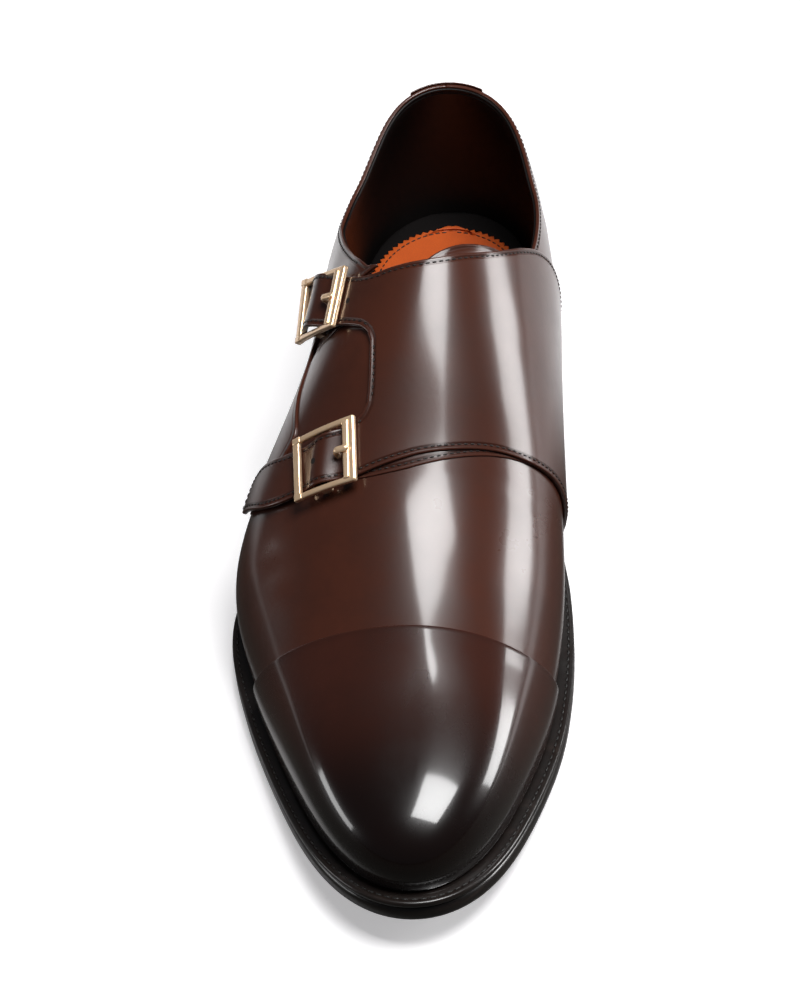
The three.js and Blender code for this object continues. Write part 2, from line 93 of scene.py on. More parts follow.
def ramp_between(tree, value, low, high):
    """Share from 0 at low to 1 at high, with soft ends."""
    node = tree.nodes.new("ShaderNodeMapRange")
    node.interpolation_type = "SMOOTHSTEP"
    tree.links.new(value, node.inputs["Value"])
    node.inputs["From Min"].default_value = low
    node.inputs["From Max"].default_value = high
    return node.outputs["Result"]


def mix_colours(tree, share, a, b):
    """Colour a where share is 0 and b where it is 1; each a socket or three numbers."""
    node = tree.nodes.new("ShaderNodeMix")
    node.data_type = "RGBA"
    tree.links.new(share, node.inputs["Factor"])
    for socket, value in ((node.inputs["A"], a), (node.inputs["B"], b)):
        if isinstance(value, bpy.types.NodeSocket):
            tree.links.new(value, socket)
        else:
            socket.default_value = (*value, 1)
    return node.outputs["Result"]


def lay_floor():
    """Pale paper; only reflections see it painted near black in front of the shoe and beside it, a
    painted shade in the leather's reflections.
    """
    paper, nodes, links, shader = principled("floor_paper")
    tree = paper.node_tree
    place = nodes.new("ShaderNodeTexCoord").outputs["Object"]
    seen = nodes.new("ShaderNodeLightPath").outputs["Is Camera Ray"]
    fibre = nodes.new("ShaderNodeTexNoise")
    fibre.inputs["Scale"].default_value = 30
    fibre.inputs["Detail"].default_value = 6
    squash = nodes.new("ShaderNodeVectorMath")
    squash.operation = "MULTIPLY"
    squash.inputs[1].default_value = (1, 0.42, 0)
    length = nodes.new("ShaderNodeVectorMath")
    length.operation = "LENGTH"
    split = nodes.new("ShaderNodeSeparateXYZ")
    links.new(place, squash.inputs[0])
    links.new(squash.outputs["Vector"], length.inputs[0])
    links.new(place, split.inputs["Vector"])
    away = ramp_between(tree, length.outputs["Value"], 0.046, 0.068)
    forward = ramp_between(tree, split.outputs["Y"], 0.13, 0.04)
    shade_zone_in_reflections = calculate(tree, "MULTIPLY", away, forward)
    reflected = calculate(tree, "MULTIPLY", shade_zone_in_reflections, calculate(tree, "SUBTRACT", 1, seen))
    tone = mix_colours(tree, fibre.outputs["Fac"], (0.86, 0.85, 0.855), (0.90, 0.89, 0.895))
    # Painted shade: reflection rays see the paper near black in front of the shoe and beside it, so the
    # leather reflects a dark floor there.
    ground = mix_colours(tree, reflected, tone, (0.03, 0.028, 0.024))
    glow = mix_colours(tree, seen, (0, 0, 0), (0.4, 0.395, 0.4))
    links.new(ground, shader.inputs["Base Color"])
    links.new(glow, shader.inputs["Emission Color"])
    shader.inputs["Emission Strength"].default_value = 1
    shader.inputs["Roughness"].default_value = 0.75
    bm = bmesh.new()
    bmesh.ops.create_grid(bm, x_segments=1, y_segments=1, size=4)
    mesh = bpy.data.meshes.new("floor")
    bm.to_mesh(mesh)
    bm.free()
    mesh.materials.append(paper)
    floor = bpy.data.objects.new("floor", mesh)
    scene.collection.objects.link(floor)


def hang_softbox(name, azimuth, elevation, distance, width, height, watts):
    """A rectangular area light that looks at the middle of the shoe."""
    data = bpy.data.lights.new(name, "AREA")
    data.shape = "RECTANGLE"
    data.size = width
    data.size_y = height
    data.energy = watts
    lamp = bpy.data.objects.new(name, data)
    away = direction(azimuth, elevation)
    lamp.location = centre + away * distance
    lamp.rotation_mode = "QUATERNION"
    lamp.rotation_quaternion = (-away).to_track_quat("-Z", "Y")
    scene.collection.objects.link(lamp)


def set_camera():
    """Over the toe, a little to the inner side, rolled so that the shoe leans as its pair did."""
    data = bpy.data.cameras.new("camera")
    data.sensor_width = 36
    data.lens = 121
    camera = bpy.data.objects.new("camera", data)
    away = direction(8.34, 44.4)
    aim = Vector((centre.x - 0.7 * MM, centre.y - 2.8 * MM, 40 * MM))
    camera.location = aim + away * 1.0588
    camera.rotation_mode = "QUATERNION"
    roll = Quaternion((0, 0, 1), math.radians(-5.96))
    camera.rotation_quaternion = (-away).to_track_quat("-Z", "Y") @ roll
    scene.collection.objects.link(camera)
    scene.camera = camera


def set_surround():
    """A dim room in the reflections and a pale wall where the view passes over the floor."""
    world = bpy.data.worlds.new("room")
    scene.world = world
    world.use_nodes = True
    nodes = world.node_tree.nodes
    links = world.node_tree.links
    room = nodes["Background"]
    room.inputs["Color"].default_value = (0.75, 0.78, 0.85, 1)
    room.inputs["Strength"].default_value = 0.06
    wall = nodes.new("ShaderNodeBackground")
    wall.inputs["Color"].default_value = (0.9, 0.9, 0.91, 1)
    path = nodes.new("ShaderNodeLightPath")
    choice = nodes.new("ShaderNodeMixShader")
    links.new(path.outputs["Is Camera Ray"], choice.inputs["Fac"])
    links.new(room.outputs["Background"], choice.inputs[1])
    links.new(wall.outputs["Background"], choice.inputs[2])
    links.new(choice.outputs["Shader"], nodes["World Output"].inputs["Surface"])


lay_floor()
set_camera()
set_surround()
hang_softbox("overhead_softbox", 72, 75, 1.05, 0.44, 0.6, 13)
hang_softbox("inner_window", 105, 13, 1.1, 0.42, 0.36, 5.5)
hang_softbox("outer_window", 278, 6, 0.9, 0.4, 0.16, 1.0)

# ---- last and sock ------------------------------------------------------------------------
# The last is the wooden form that the whole shoe is built round. The insole board is cut to its
# underside; on it lies a thin orange leather sock with a pinked edge and one row of stitches.
# The table LAST is a rounded fit made outside this script, its heel rows set one by one. Its
# columns are section stations, sizes in mm and fullness shares.
LAST_LENGTH = 287
LAST = {
    "t": [0, 30, 70, 105, 140, 170, 200, 225, 250, 287],
    "centre": [2, 2, 1, 1, -2, -5.5, -3, 0, 2.2, 5.7],
    "half": [30, 30.5, 31, 33, 40.5, 48, 45.8, 40.7, 36.7, 34.5],
    "ridge": [140, 138, 131, 113, 92, 72, 58, 49.5, 45, 38],
    "shift": [3, 6, 9, 5, 4, 5, 5, 5, 5.5, 7],
    "outer": [9, 6, 20, 16, 17, 15, 9.5, 6, 3.5, 4],
    "inner": [9, 11.5, 26, 25, 20, 15, 10.5, 7.5, 6, 4],
    "rise": [0.42, 0.42, 0.4, 0.42, 0.5, 0.5, 0.52, 0.6, 0.72, 0.78],
    "crown": [0.23, 0.15, 0.32, 0.6, 0.62, 0.58, 0.58, 0.7, 0.86, 0.92],
}
UNDERSIDE = {
    "t": [-8, 0, 40, 72, 100, 130, 160, 185, 200, 215, 235, 260, 287, 300],
    "z": [26, 25.6, 25, 24.5, 20, 11.5, 4, 0.4, -0.3, -0.3, 1.2, 4.8, 10.2, 13],
}
HEEL_ROUND = 40
HEEL_SQUARENESS = 2.3
TOE_ROUND = 78
TOE_SQUARENESS = 2
OUTSOLE = 5.5
WELT = 2.5
INSOLE = 5.2
LAYER_GAP = 0.3
FEATHER = OUTSOLE + WELT + 2 * LAYER_GAP


def curve_through(stations, values):
    """Natural cubic spline through a short table."""
    xs = np.array(stations, float)
    ys = np.array(values, float)
    step = np.diff(xs)
    last_one = len(xs) - 1
    system = np.eye(len(xs))
    turn = np.zeros(len(xs))
    for i in range(1, last_one):
        system[i, i - 1:i + 2] = step[i - 1], 2 * (step[i - 1] + step[i]), step[i]
        turn[i] = 6 * ((ys[i + 1] - ys[i]) / step[i] - (ys[i] - ys[i - 1]) / step[i - 1])
    bend = np.linalg.solve(system, turn)

    def at(x):
        x = np.asarray(x, float)
        i = np.clip(np.searchsorted(xs, x) - 1, 0, last_one - 1)
        a = (xs[i + 1] - x) / step[i]
        b = 1 - a
        curve = ((a ** 3 - a) * bend[i] + (b ** 3 - b) * bend[i + 1]) * step[i] ** 2 / 6
        return a * ys[i] + b * ys[i + 1] + curve

    return at


section = {name: curve_through(LAST["t"], LAST[name]) for name in LAST if name != "t"}
underside = curve_through(UNDERSIDE["t"], UNDERSIDE["z"])
heel_tip = max((v.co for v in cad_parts["outsole"].data.vertices), key=lambda p: p.y)
HEEL_MARGIN = 2.5
X0 = heel_tip.x / MM - LAST["centre"][0]
Y0 = heel_tip.y / MM - HEEL_MARGIN


def tread_z(t):
    """Height of the outsole's underside, which lies flat where it would pass the floor."""
    return np.maximum(underside(t), 0)


def station_of(sigma):
    """Distance from the heel in mm, with even sigmas lying closer at heel and toe."""
    return LAST_LENGTH * (1 - np.cos(np.pi * np.asarray(sigma, float))) / 2


def sigma_of(t):
    """The sigma of a station, the other way round."""
    return np.arccos(1 - 2 * np.clip(np.asarray(t, float) / LAST_LENGTH, 0, 1)) / np.pi


def closure(t):
    """Width share left after the round of the heel and of the toe."""
    heel = np.clip(1 - t / HEEL_ROUND, 0, 1) ** HEEL_SQUARENESS
    toe = np.clip(1 - (LAST_LENGTH - t) / TOE_ROUND, 0, 1) ** TOE_SQUARENESS
    return np.sqrt(np.maximum(1 - heel, 0) * np.maximum(1 - toe, 0))


TOE_FAN = {"from": 205, "pull": 0.62}
HEEL_FAN = {"from": 60, "pull": 0.93}


def ridge_station(t):
    """Where a section line that starts at t on the feather edge reaches the ridge."""
    toe = np.maximum(t - TOE_FAN["from"], 0) ** 2 / (2 * (LAST_LENGTH - TOE_FAN["from"]))
    heel = np.maximum(HEEL_FAN["from"] - t, 0) ** 2 / (2 * HEEL_FAN["from"])
    return t - TOE_FAN["pull"] * toe + HEEL_FAN["pull"] * heel


def last_surface(sigma, g):
    """Points of the last in mm: sigma runs heel to toe, g from the outer edge to the inner one."""
    outside = (sigma < 0) | (sigma > 1)
    sigma = np.where(sigma < 0, -sigma, np.where(sigma > 1, 2 - sigma, sigma))
    g = np.where(outside, -g, g)
    side = np.where(g < 0, -1, 1)
    v = 1 - np.abs(g)
    t = station_of(sigma)
    ridge_t = ridge_station(t)
    ridge_x = section["centre"](ridge_t) + section["shift"](ridge_t) * closure(ridge_t)
    drop = section["ridge"](t) - tread_z(t) - FEATHER
    dx = section["centre"](t) + side * section["half"](t) * closure(t) - ridge_x
    dt = t - ridge_t
    reach = np.hypot(dx, dt) + 1e-9
    swell = np.where(side < 0, section["outer"](t), section["inner"](t))
    b = [(1 - v) ** 3, 3 * (1 - v) ** 2 * v, 3 * (1 - v) * v * v, v ** 3]
    out = b[0] * reach + b[1] * (reach + swell) + b[2] * section["crown"](t) * reach
    height = b[1] * section["rise"](t) + b[2] + b[3]
    at = ridge_t + dt / reach * out
    z = section["ridge"](np.clip(at, -12, LAST_LENGTH + 12)) - (1 - height) * drop
    return np.stack([ridge_x + dx / reach * out + X0, Y0 - at, z], -1)


def last_normal(sigma, g):
    """Outward normals of the last, read a little beside the ridge where it ends at the toe."""
    step = 1e-3
    g = np.where((sigma > 0.97) & (np.abs(g) < 0.02), 0.02, g)
    along = last_surface(sigma + step, g) - last_surface(sigma - step, g)
    high = last_surface(sigma, np.minimum(g + step, 1))
    low = last_surface(sigma, np.maximum(g - step, -1))
    normal = np.cross(along, high - low)
    return normal / (np.linalg.norm(normal, axis=-1, keepdims=True) + 1e-12)


def outline(sigma, side, margin):
    """Feather edge moved outwards in plan by a margin: x and t in mm."""
    def at(s):
        inside = np.where(s < 0, -s, np.where(s > 1, 2 - s, s))
        t = station_of(inside)
        turned = np.where((s < 0) | (s > 1), -side, side)
        return section["centre"](t) + turned * section["half"](t) * closure(t), t

    x0, t0 = at(sigma - 1e-4)
    x1, t1 = at(sigma + 1e-4)
    x, t = at(sigma)
    length = np.hypot(x1 - x0, t1 - t0)
    return x + side * margin * (t1 - t0) / length, t - side * margin * (x1 - x0) / length


def even_sigmas(margin, count):
    """Sigmas whose points lie at equal steps along the outer outline."""
    fine = np.linspace(0, 1, 2000)
    x, t = outline(fine, -1, margin)
    run = np.concatenate([[0], np.cumsum(np.hypot(np.diff(x), np.diff(t)))])
    return np.interp(np.linspace(0, run[-1], count + 1), run, fine)


def grain_bump(tree, shader, height, strength, depth):
    """Raises a shader's surface where height is high, by a depth in mm."""
    bump = tree.nodes.new("ShaderNodeBump")
    bump.inputs["Strength"].default_value = strength
    bump.inputs["Distance"].default_value = depth * MM
    tree.links.new(height, bump.inputs["Height"])
    tree.links.new(bump.outputs["Normal"], shader.inputs["Normal"])
    return bump


def plain_finish(name, colour, roughness, specular=0.5):
    """A dark plain surface with one colour."""
    material, _, _, shader = principled(name)
    shader.inputs["Base Color"].default_value = (*colour, 1)
    shader.inputs["Roughness"].default_value = roughness
    shader.inputs["Specular IOR Level"].default_value = specular
    return material


def shade_of(colour, share):
    """A colour times a share, or a paler one where the share is over 1."""
    return tuple(share * c for c in colour)


def flat_net(rows, columns):
    """A flat net of squares with its row and column shares, from 0 to 1."""
    bm = bmesh.new()
    bmesh.ops.create_grid(bm, x_segments=rows, y_segments=columns, size=0.5)
    places = np.array([v.co for v in bm.verts])
    return bm, places[:, 0] + 0.5, places[:, 1] + 0.5


def place_net(bm, points):
    """Moves the net's corners to points in mm and closes what meets."""
    for vert, point in zip(bm.verts, points):
        vert.co = Vector(point) * MM
    bmesh.ops.remove_doubles(bm, verts=bm.verts, dist=0.01 * MM)


def join_net(whole, net):
    """Adds a net to a larger one and frees it."""
    scrap = bpy.data.meshes.new("net")
    net.to_mesh(scrap)
    net.free()
    whole.from_mesh(scrap)
    bpy.data.meshes.remove(scrap)


def add_piece(name, bm, material, replaces=()):
    """A finished mesh becomes a piece of the shoe and the solid it stands for."""
    mesh = bpy.data.meshes.new(name)
    bm.to_mesh(mesh)
    bm.free()
    mesh.materials.append(material)
    mesh.shade_smooth()
    piece = bpy.data.objects.new(name, mesh)
    scene.collection.objects.link(piece)
    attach(piece, "root")
    if replaces:
        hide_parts(*replaces)
    return piece


def give_wall(piece, wall, fold, segments=3):
    """A wall inwards from the sheet, with its cut or folded edge rounded."""
    solid = piece.modifiers.new("wall", "SOLIDIFY")
    solid.thickness = wall * MM
    solid.offset = -1
    edge = piece.modifiers.new("fold", "BEVEL")
    edge.width = fold * MM
    edge.segments = segments
    edge.limit_method = "ANGLE"
    edge.angle_limit = math.radians(50)
    edge.use_clamp_overlap = False


def new_group(name, inputs, outputs):
    """A shader node group with named inputs, each with its usual value, and named outputs."""
    tree = bpy.data.node_groups.new(name, "ShaderNodeTree")
    kinds = {float: "NodeSocketFloat", tuple: "NodeSocketVector"}
    for label, value in inputs.items():
        socket = tree.interface.new_socket(label, in_out="INPUT", socket_type=kinds[type(value)])
        socket.default_value = value
    for label in outputs:
        tree.interface.new_socket(label, in_out="OUTPUT", socket_type="NodeSocketFloat")
    return tree, tree.nodes.new("NodeGroupInput"), tree.nodes.new("NodeGroupOutput")


def build_calf_face():
    """Pores, fine wrinkles and cloudy tone of finished calf leather, read from a place in metres."""
    tree, inside, outside = new_group(
        "calf_face", {"Place": (0.0, 0.0, 0.0), "Pore Scale": 1500.0, "Cloud Scale": 26.0},
        ["Height", "Cloud", "Fleck"],
    )
    pores = tree.nodes.new("ShaderNodeTexVoronoi")
    pores.feature = "SMOOTH_F1"
    wrinkle = tree.nodes.new("ShaderNodeTexNoise")
    wrinkle.inputs["Scale"].default_value = 520
    wrinkle.inputs["Detail"].default_value = 4
    cloud = tree.nodes.new("ShaderNodeTexNoise")
    cloud.inputs["Detail"].default_value = 5
    cloud.inputs["Roughness"].default_value = 0.62
    fleck = tree.nodes.new("ShaderNodeTexNoise")
    fleck.inputs["Scale"].default_value = 2600
    fleck.inputs["Detail"].default_value = 2
    for node in (pores, wrinkle, cloud, fleck):
        tree.links.new(inside.outputs["Place"], node.inputs["Vector"])
    tree.links.new(inside.outputs["Pore Scale"], pores.inputs["Scale"])
    tree.links.new(inside.outputs["Cloud Scale"], cloud.inputs["Scale"])
    pit = calculate(tree, "MULTIPLY", pores.outputs["Distance"], 0.5)
    height = calculate(tree, "ADD", pit, wrinkle.outputs["Fac"])
    tree.links.new(height, outside.inputs["Height"])
    tree.links.new(ramp_between(tree, cloud.outputs["Fac"], 0.32, 0.7), outside.inputs["Cloud"])
    tree.links.new(ramp_between(tree, fleck.outputs["Fac"], 0.45, 0.75), outside.inputs["Fleck"])
    return tree


calf_face = build_calf_face()


def leather_face(tree):
    """The calf's face laid on a piece: its place on the shoe and the group with its outputs."""
    place = tree.nodes.new("ShaderNodeTexCoord").outputs["Object"]
    face = tree.nodes.new("ShaderNodeGroup")
    face.node_tree = calf_face
    tree.links.new(place, face.inputs["Place"])
    return place, face


def sock_leather_finish():
    """Orange vegetable tanned leather, matt, with fine pores."""
    material, _, links, shader = principled("orange_sock_leather")
    tree = material.node_tree
    _, face = leather_face(tree)
    colour = mix_colours(tree, face.outputs["Cloud"], (0.6, 0.098, 0.01), (0.48, 0.07, 0.008))
    flecks = calculate(tree, "MULTIPLY", face.outputs["Fleck"], 0.35)
    colour = mix_colours(tree, flecks, colour, (0.3, 0.06, 0.01))
    links.new(colour, shader.inputs["Base Color"])
    shader.inputs["Roughness"].default_value = 0.55
    grain_bump(tree, shader, face.outputs["Height"], 0.25, 0.15)
    return material


def across_sole(sigma, share, margin, z_of):
    """Points of a flat layer of the sole: share runs from the outer edge to the inner one."""
    xo, to = outline(sigma, -1, margin)
    xi, ti = outline(sigma, 1, margin)
    t = to + (ti - to) * share
    return np.stack([xo + (xi - xo) * share + X0, Y0 - t, z_of(t)], -1)


INSOLE_MARGIN = -2.7


def insole_top(t):
    """Height of the insole board's upper face."""
    return tread_z(t) + OUTSOLE + LAYER_GAP + INSOLE


def cut_insole():
    """A flat board inside the feather edge, as thick as board and filler together."""
    rows = 70
    bm, along, across = flat_net(rows, 16)
    sigma = even_sigmas(INSOLE_MARGIN, rows)[np.rint(along * rows).astype(int)]
    place_net(bm, across_sole(sigma, across, INSOLE_MARGIN, insole_top))
    board_leather = plain_finish("dark_board_leather", (0.003, 0.002, 0.002), 0.8, 0.15)
    board = add_piece("insole_board", bm, board_leather, ["insole"])
    give_wall(board, INSOLE, 0.8)


SOCK_MARGIN = -3.2
TOOTH_DEPTH = 1.3
TOOTH_PITCH = 2.7
SOCK_WALL = 0.9
SOCK_BACK = 9
SOCK_FADE = 150
SOCK_GIRTH = 330


def sock_z(t):
    """Height of the sock's upper face."""
    return tread_z(t) + (OUTSOLE + LAYER_GAP + INSOLE + SOCK_WALL)


def sock_points(sigma, across, margin):
    """The sock's outline starts a little way in front of the heel."""
    points = across_sole(sigma, across, margin, sock_z)
    t = Y0 - points[..., 1]
    t = t + SOCK_BACK * np.clip(1 - t / SOCK_FADE, 0, 1)
    points[..., 1] = Y0 - t
    points[..., 2] = sock_z(t)
    return points


def cut_sock():
    """The pinked edge comes from every second row ending short."""
    rows = 2 * round(SOCK_GIRTH / TOOTH_PITCH)
    bm, along, across = flat_net(rows, 24)
    row = np.rint(along * rows).astype(int)
    edge = (across < 0.001) | (across > 0.999)
    margin = SOCK_MARGIN - TOOTH_DEPTH * (edge & (row % 2 == 1))
    from_side = np.minimum(1, 4 * np.minimum(across, 1 - across))
    margin = margin - 2.2 * TOOTH_DEPTH * (~edge) * (1 - from_side)
    sigma = even_sigmas(SOCK_MARGIN, rows)[row]
    place_net(bm, sock_points(sigma, across, margin))
    sock = add_piece("sock", bm, sock_leather_finish())
    give_wall(sock, SOCK_WALL, 0.2, 2)


cut_insole()
cut_sock()

# ---- sewing -------------------------------------------------------------------------------
# Every seam is a lockstitch in dark brown thread, about twelve to the inch: each stitch is a
# short thread with rounded ends that sinks a little into the leather.
THREAD = 0.55
STITCH_PITCH = 2.05
SEAM_INSET = 1.5


def thread_finish(name, colour):
    """Waxed thread with its twist showing as a fine slanted wave."""
    material, nodes, links, shader = principled(name)
    tree = material.node_tree
    place = nodes.new("ShaderNodeTexCoord").outputs["Object"]
    twist = nodes.new("ShaderNodeTexWave")
    twist.inputs["Scale"].default_value = 900
    twist.bands_direction = "DIAGONAL"
    links.new(place, twist.inputs["Vector"])
    shown = mix_colours(tree, twist.outputs["Fac"], shade_of(colour, 0.45), colour)
    links.new(shown, shader.inputs["Base Color"])
    shader.inputs["Roughness"].default_value = 0.5
    grain_bump(tree, shader, twist.outputs["Fac"], 0.4, 0.08)
    return material


brown_thread = thread_finish("brown_thread", (0.014, 0.007, 0.005))
black_thread = thread_finish("black_thread", (0.012, 0.010, 0.009))


PROUD = 0.1


def sew(bm, route, surface, inset, pitch=STITCH_PITCH, thread=THREAD, cover=0.72):
    """Stitches along a route in metres, inset to its left as seen from outside the surface."""
    route = np.asarray(route)
    run = np.concatenate([[0], np.cumsum(np.linalg.norm(np.diff(route, axis=0), axis=1))])
    count = max(int(run[-1] / (pitch * MM)), 1)
    at = (np.arange(count) + 0.5) * run[-1] / count
    half = 0.2 * pitch * MM
    for place in at:
        point = Vector([np.interp(place, run, route[:, i]) for i in range(3)])
        ahead = Vector([np.interp(place + half, run, route[:, i]) for i in range(3)])
        behind = Vector([np.interp(place - half, run, route[:, i]) for i in range(3)])
        tangent = (ahead - behind).normalized()
        normal = surface.find_nearest(point)[1]
        left = normal.cross(tangent).normalized()
        spot, normal = surface.find_nearest(point + left * inset * MM)[:2]
        left = normal.cross(tangent).normalized()
        tangent = left.cross(normal)
        lie = Matrix((
            tangent * (cover * pitch / 2 * MM),
            left * (thread / 2 * MM),
            normal * (thread * 0.4 * MM),
        )).transposed().to_4x4()
        lie.translation = spot + normal * (PROUD * thread * MM)
        bmesh.ops.create_icosphere(bm, subdivisions=2, radius=1, matrix=lie)


def finish_seam(name, bm, thread=brown_thread):
    """All the stitches of one seam are one piece."""
    add_piece(name, bm, thread)


def sew_sock():
    """One row of stitches runs just inside the teeth, along both sides."""
    seam = bmesh.new()
    rows = 120
    bm, along, across = flat_net(rows, 8)
    sigma = even_sigmas(SOCK_MARGIN, rows)[np.rint(along * rows).astype(int)]
    place_net(bm, sock_points(sigma, across, SOCK_MARGIN))
    surface = BVHTree.FromBMesh(bm)
    bm.free()
    for share in (0, 1):
        route = sock_points(np.linspace(0.01, 0.8, 300), share, SOCK_MARGIN - TOOTH_DEPTH)
        sew(seam, route * MM, surface, 1.4 - 2.8 * share, pitch=2.4)
    finish_seam("sock_seam", seam)


sew_sock()

# ---- upper --------------------------------------------------------------------------------
# The upper is brown calf drawn over the last: a vamp whole over the toes, a throat piece sewn to
# its top edge, two quarters that lap over them and meet at the heel under a back strip, and a
# dark leather lining, coloured near black so that it also paints the shade inside the shoe. The
# quarters' top edges are folded over and sewn to the lining.
LEATHER = 1.2
LINING = 0.75
COLLAR = {
    "t": [0, 25, 45, 60, 78, 95, 104],
    "outer": [93.5, 88, 83, 82.5, 89, 96.5, 101],
    "inner": [93.5, 90, 87, 86.5, 88.5, 93, 102],
}
collar_height = {
    -1: curve_through(COLLAR["t"], COLLAR["outer"]),
    1: curve_through(COLLAR["t"], COLLAR["inner"]),
}
SLOT = {"corner": 104, "start": 112, "bend": 150, "end": 165, -1: 0.92, 1: 0.8}

# Soft troughs and ridges that wear and lasting leave, each from one place on the last to another:
# depth and width in mm, a ridge having a negative depth.
CREASES = {
    "from": [(178, -0.66), (186, -0.62), (181, 0.38), (190, 0.3), (150, 0.86), (88, -0.75),
             (60, -0.42), (64, 0.45), (120, 0.2), (140, 0.12), (224, -0.75)],
    "to": [(184, -0.36), (196, -0.30), (186, 0.66), (197, 0.62), (168, 0.60), (70, -0.52),
           (44, -0.80), (48, 0.82), (126, 0.62), (146, 0.5), (224, 0.75)],
    "depth": [0.32, 0.22, 0.16, 0.1, 0.2, 0.35, -0.3, -0.3, 0.16, -0.14, -1.0],
    "width": [4, 5, 8, 9, 8, 7, 6, 6, 8, 9, 17],
}
GIRTH = 95


def settle(t, g):
    """How far the leather stands in or out where it has creased, in mm."""
    total = np.zeros(np.broadcast(t, g).shape)
    for (t0, g0), (t1, g1), depth, width in zip(*CREASES.values()):
        start = np.array([t0, g0 * GIRTH])
        run = np.array([t1, g1 * GIRTH]) - start
        dt = t - start[0]
        dg = g * GIRTH - start[1]
        share = np.clip((dt * run[0] + dg * run[1]) / (run @ run), 0, 1)
        away = np.hypot(dt - share * run[0], dg - share * run[1])
        total -= depth * np.exp(-(away / width) ** 2) * np.sin(np.pi * share) ** 2
    return total


def on_last(t, g, offset):
    """Points in mm at an offset from the last, 0 being the outside of the upper."""
    t, g, offset = np.broadcast_arrays(*(np.asarray(v, float) for v in (t, g, offset)))
    sigma = sigma_of(t)
    lift = offset + settle(t, g)
    return last_surface(sigma, g) + last_normal(sigma, g) * lift[..., None]


CAP_SEAM = 215.3
CAP_SWEEP = 10
SWEEP_REACH = 45


def row_station(t, g):
    """Rows bend back at the sides so that one of them follows the cap's seam."""
    share = np.clip(1 - ((t - CAP_SEAM) / SWEEP_REACH) ** 2, 0, 1)
    return t - CAP_SWEEP * share * share * np.abs(g) ** 3


def collar_share(t, side, lower=0):
    """Share of the way up from the feather edge at which the last reaches the collar's height."""
    low = np.zeros_like(t)
    high = np.ones_like(t)
    goal = collar_height[side](t) - lower
    for _ in range(30):
        middle = (low + high) / 2
        below = last_surface(sigma_of(t), side * (1 - middle))[..., 2] < goal
        low = np.where(below, middle, low)
        high = np.where(below, high, middle)
    return low


def smooth_step(x):
    """From 0 to 1 with soft ends."""
    x = np.clip(x, 0, 1)
    return x * x * (3 - 2 * x)


# Where vamp and lining are cut back at the outer side to lie hidden under the rear strap.
TUCK = {"t": [95, 98, 103, 110, 113.5, 117, 150], "g": [0.3, 0.58, 0.52, 0.38, 0.26, 0.06, 0]}


def top_share(t, side, lower=0):
    """How far up the upper reaches: collar, front corner, slot under the straps, whole vamp."""
    slot = SLOT[side]
    collar = collar_share(np.minimum(t, SLOT["corner"]), side, lower)
    corner = smooth_step((t - SLOT["corner"]) / (SLOT["start"] - SLOT["corner"]))
    bend = np.clip((t - SLOT["bend"]) / (SLOT["end"] - SLOT["bend"]), 0, 1)
    throat = 1 - (1 - slot) * np.sqrt(1 - bend * bend)
    share = np.where(t <= SLOT["start"], collar + (slot - collar) * corner, throat)
    if side < 0:
        tucked = np.minimum(share, 1 - np.interp(t, TUCK["t"], TUCK["g"]))
        share = np.where(t > TUCK["t"][0], tucked, share)
    return share


def mark_edges(bm, above_feather=4):
    """Gives each corner its distance in mm from the nearest cut edge that isn't lasted under."""
    furthest = 50
    rim = []
    for edge in bm.edges:
        if edge.is_boundary:
            a, b = (v.co for v in edge.verts)
            floor_z = float(tread_z(Y0 - a.y / MM)) + FEATHER + above_feather
            if min(a.z, b.z) / MM > floor_z:
                rim.extend(a.lerp(b, k / 6) for k in range(6))
    distance = bm.verts.layers.float.new("edge")
    tree = kdtree.KDTree(len(rim))
    for i, point in enumerate(rim):
        tree.insert(point, i)
    tree.balance()
    for vert in bm.verts:
        vert[distance] = min(tree.find(vert.co)[2] / MM, furthest)


def build_sewn_edge():
    """Next to a cut edge: darker wax, the trough that the row of stitches pulls in, and a paler line
    right at the edge, a painted highlight on the fold.
    """
    tree, inside, outside = new_group(
        "sewn_edge", {"Distance": 50.0, "Seam": 2.0, "Burnish": 3.0}, ["Dark", "Trough", "Fold Highlight"],
    )
    from_edge = inside.outputs["Distance"]
    away = calculate(tree, "SUBTRACT", from_edge, inside.outputs["Seam"])
    away = calculate(tree, "ABSOLUTE", away, None)
    trough = calculate(tree, "SUBTRACT", 1, ramp_between(tree, away, 0, 0.9))
    dark = calculate(tree, "SUBTRACT", 1, calculate(tree, "DIVIDE", from_edge, inside.outputs["Burnish"]))
    dark = calculate(tree, "MAXIMUM", dark, 0)
    # Painted highlight: a paler line within a millimetre of each cut edge stands for the light on the
    # fold.
    fold_highlight = calculate(tree, "SUBTRACT", 1, ramp_between(tree, from_edge, 0.1, 0.9))
    tree.links.new(dark, outside.inputs["Dark"])
    tree.links.new(trough, outside.inputs["Trough"])
    tree.links.new(fold_highlight, outside.inputs["Fold Highlight"])
    return tree


sewn_edge = build_sewn_edge()


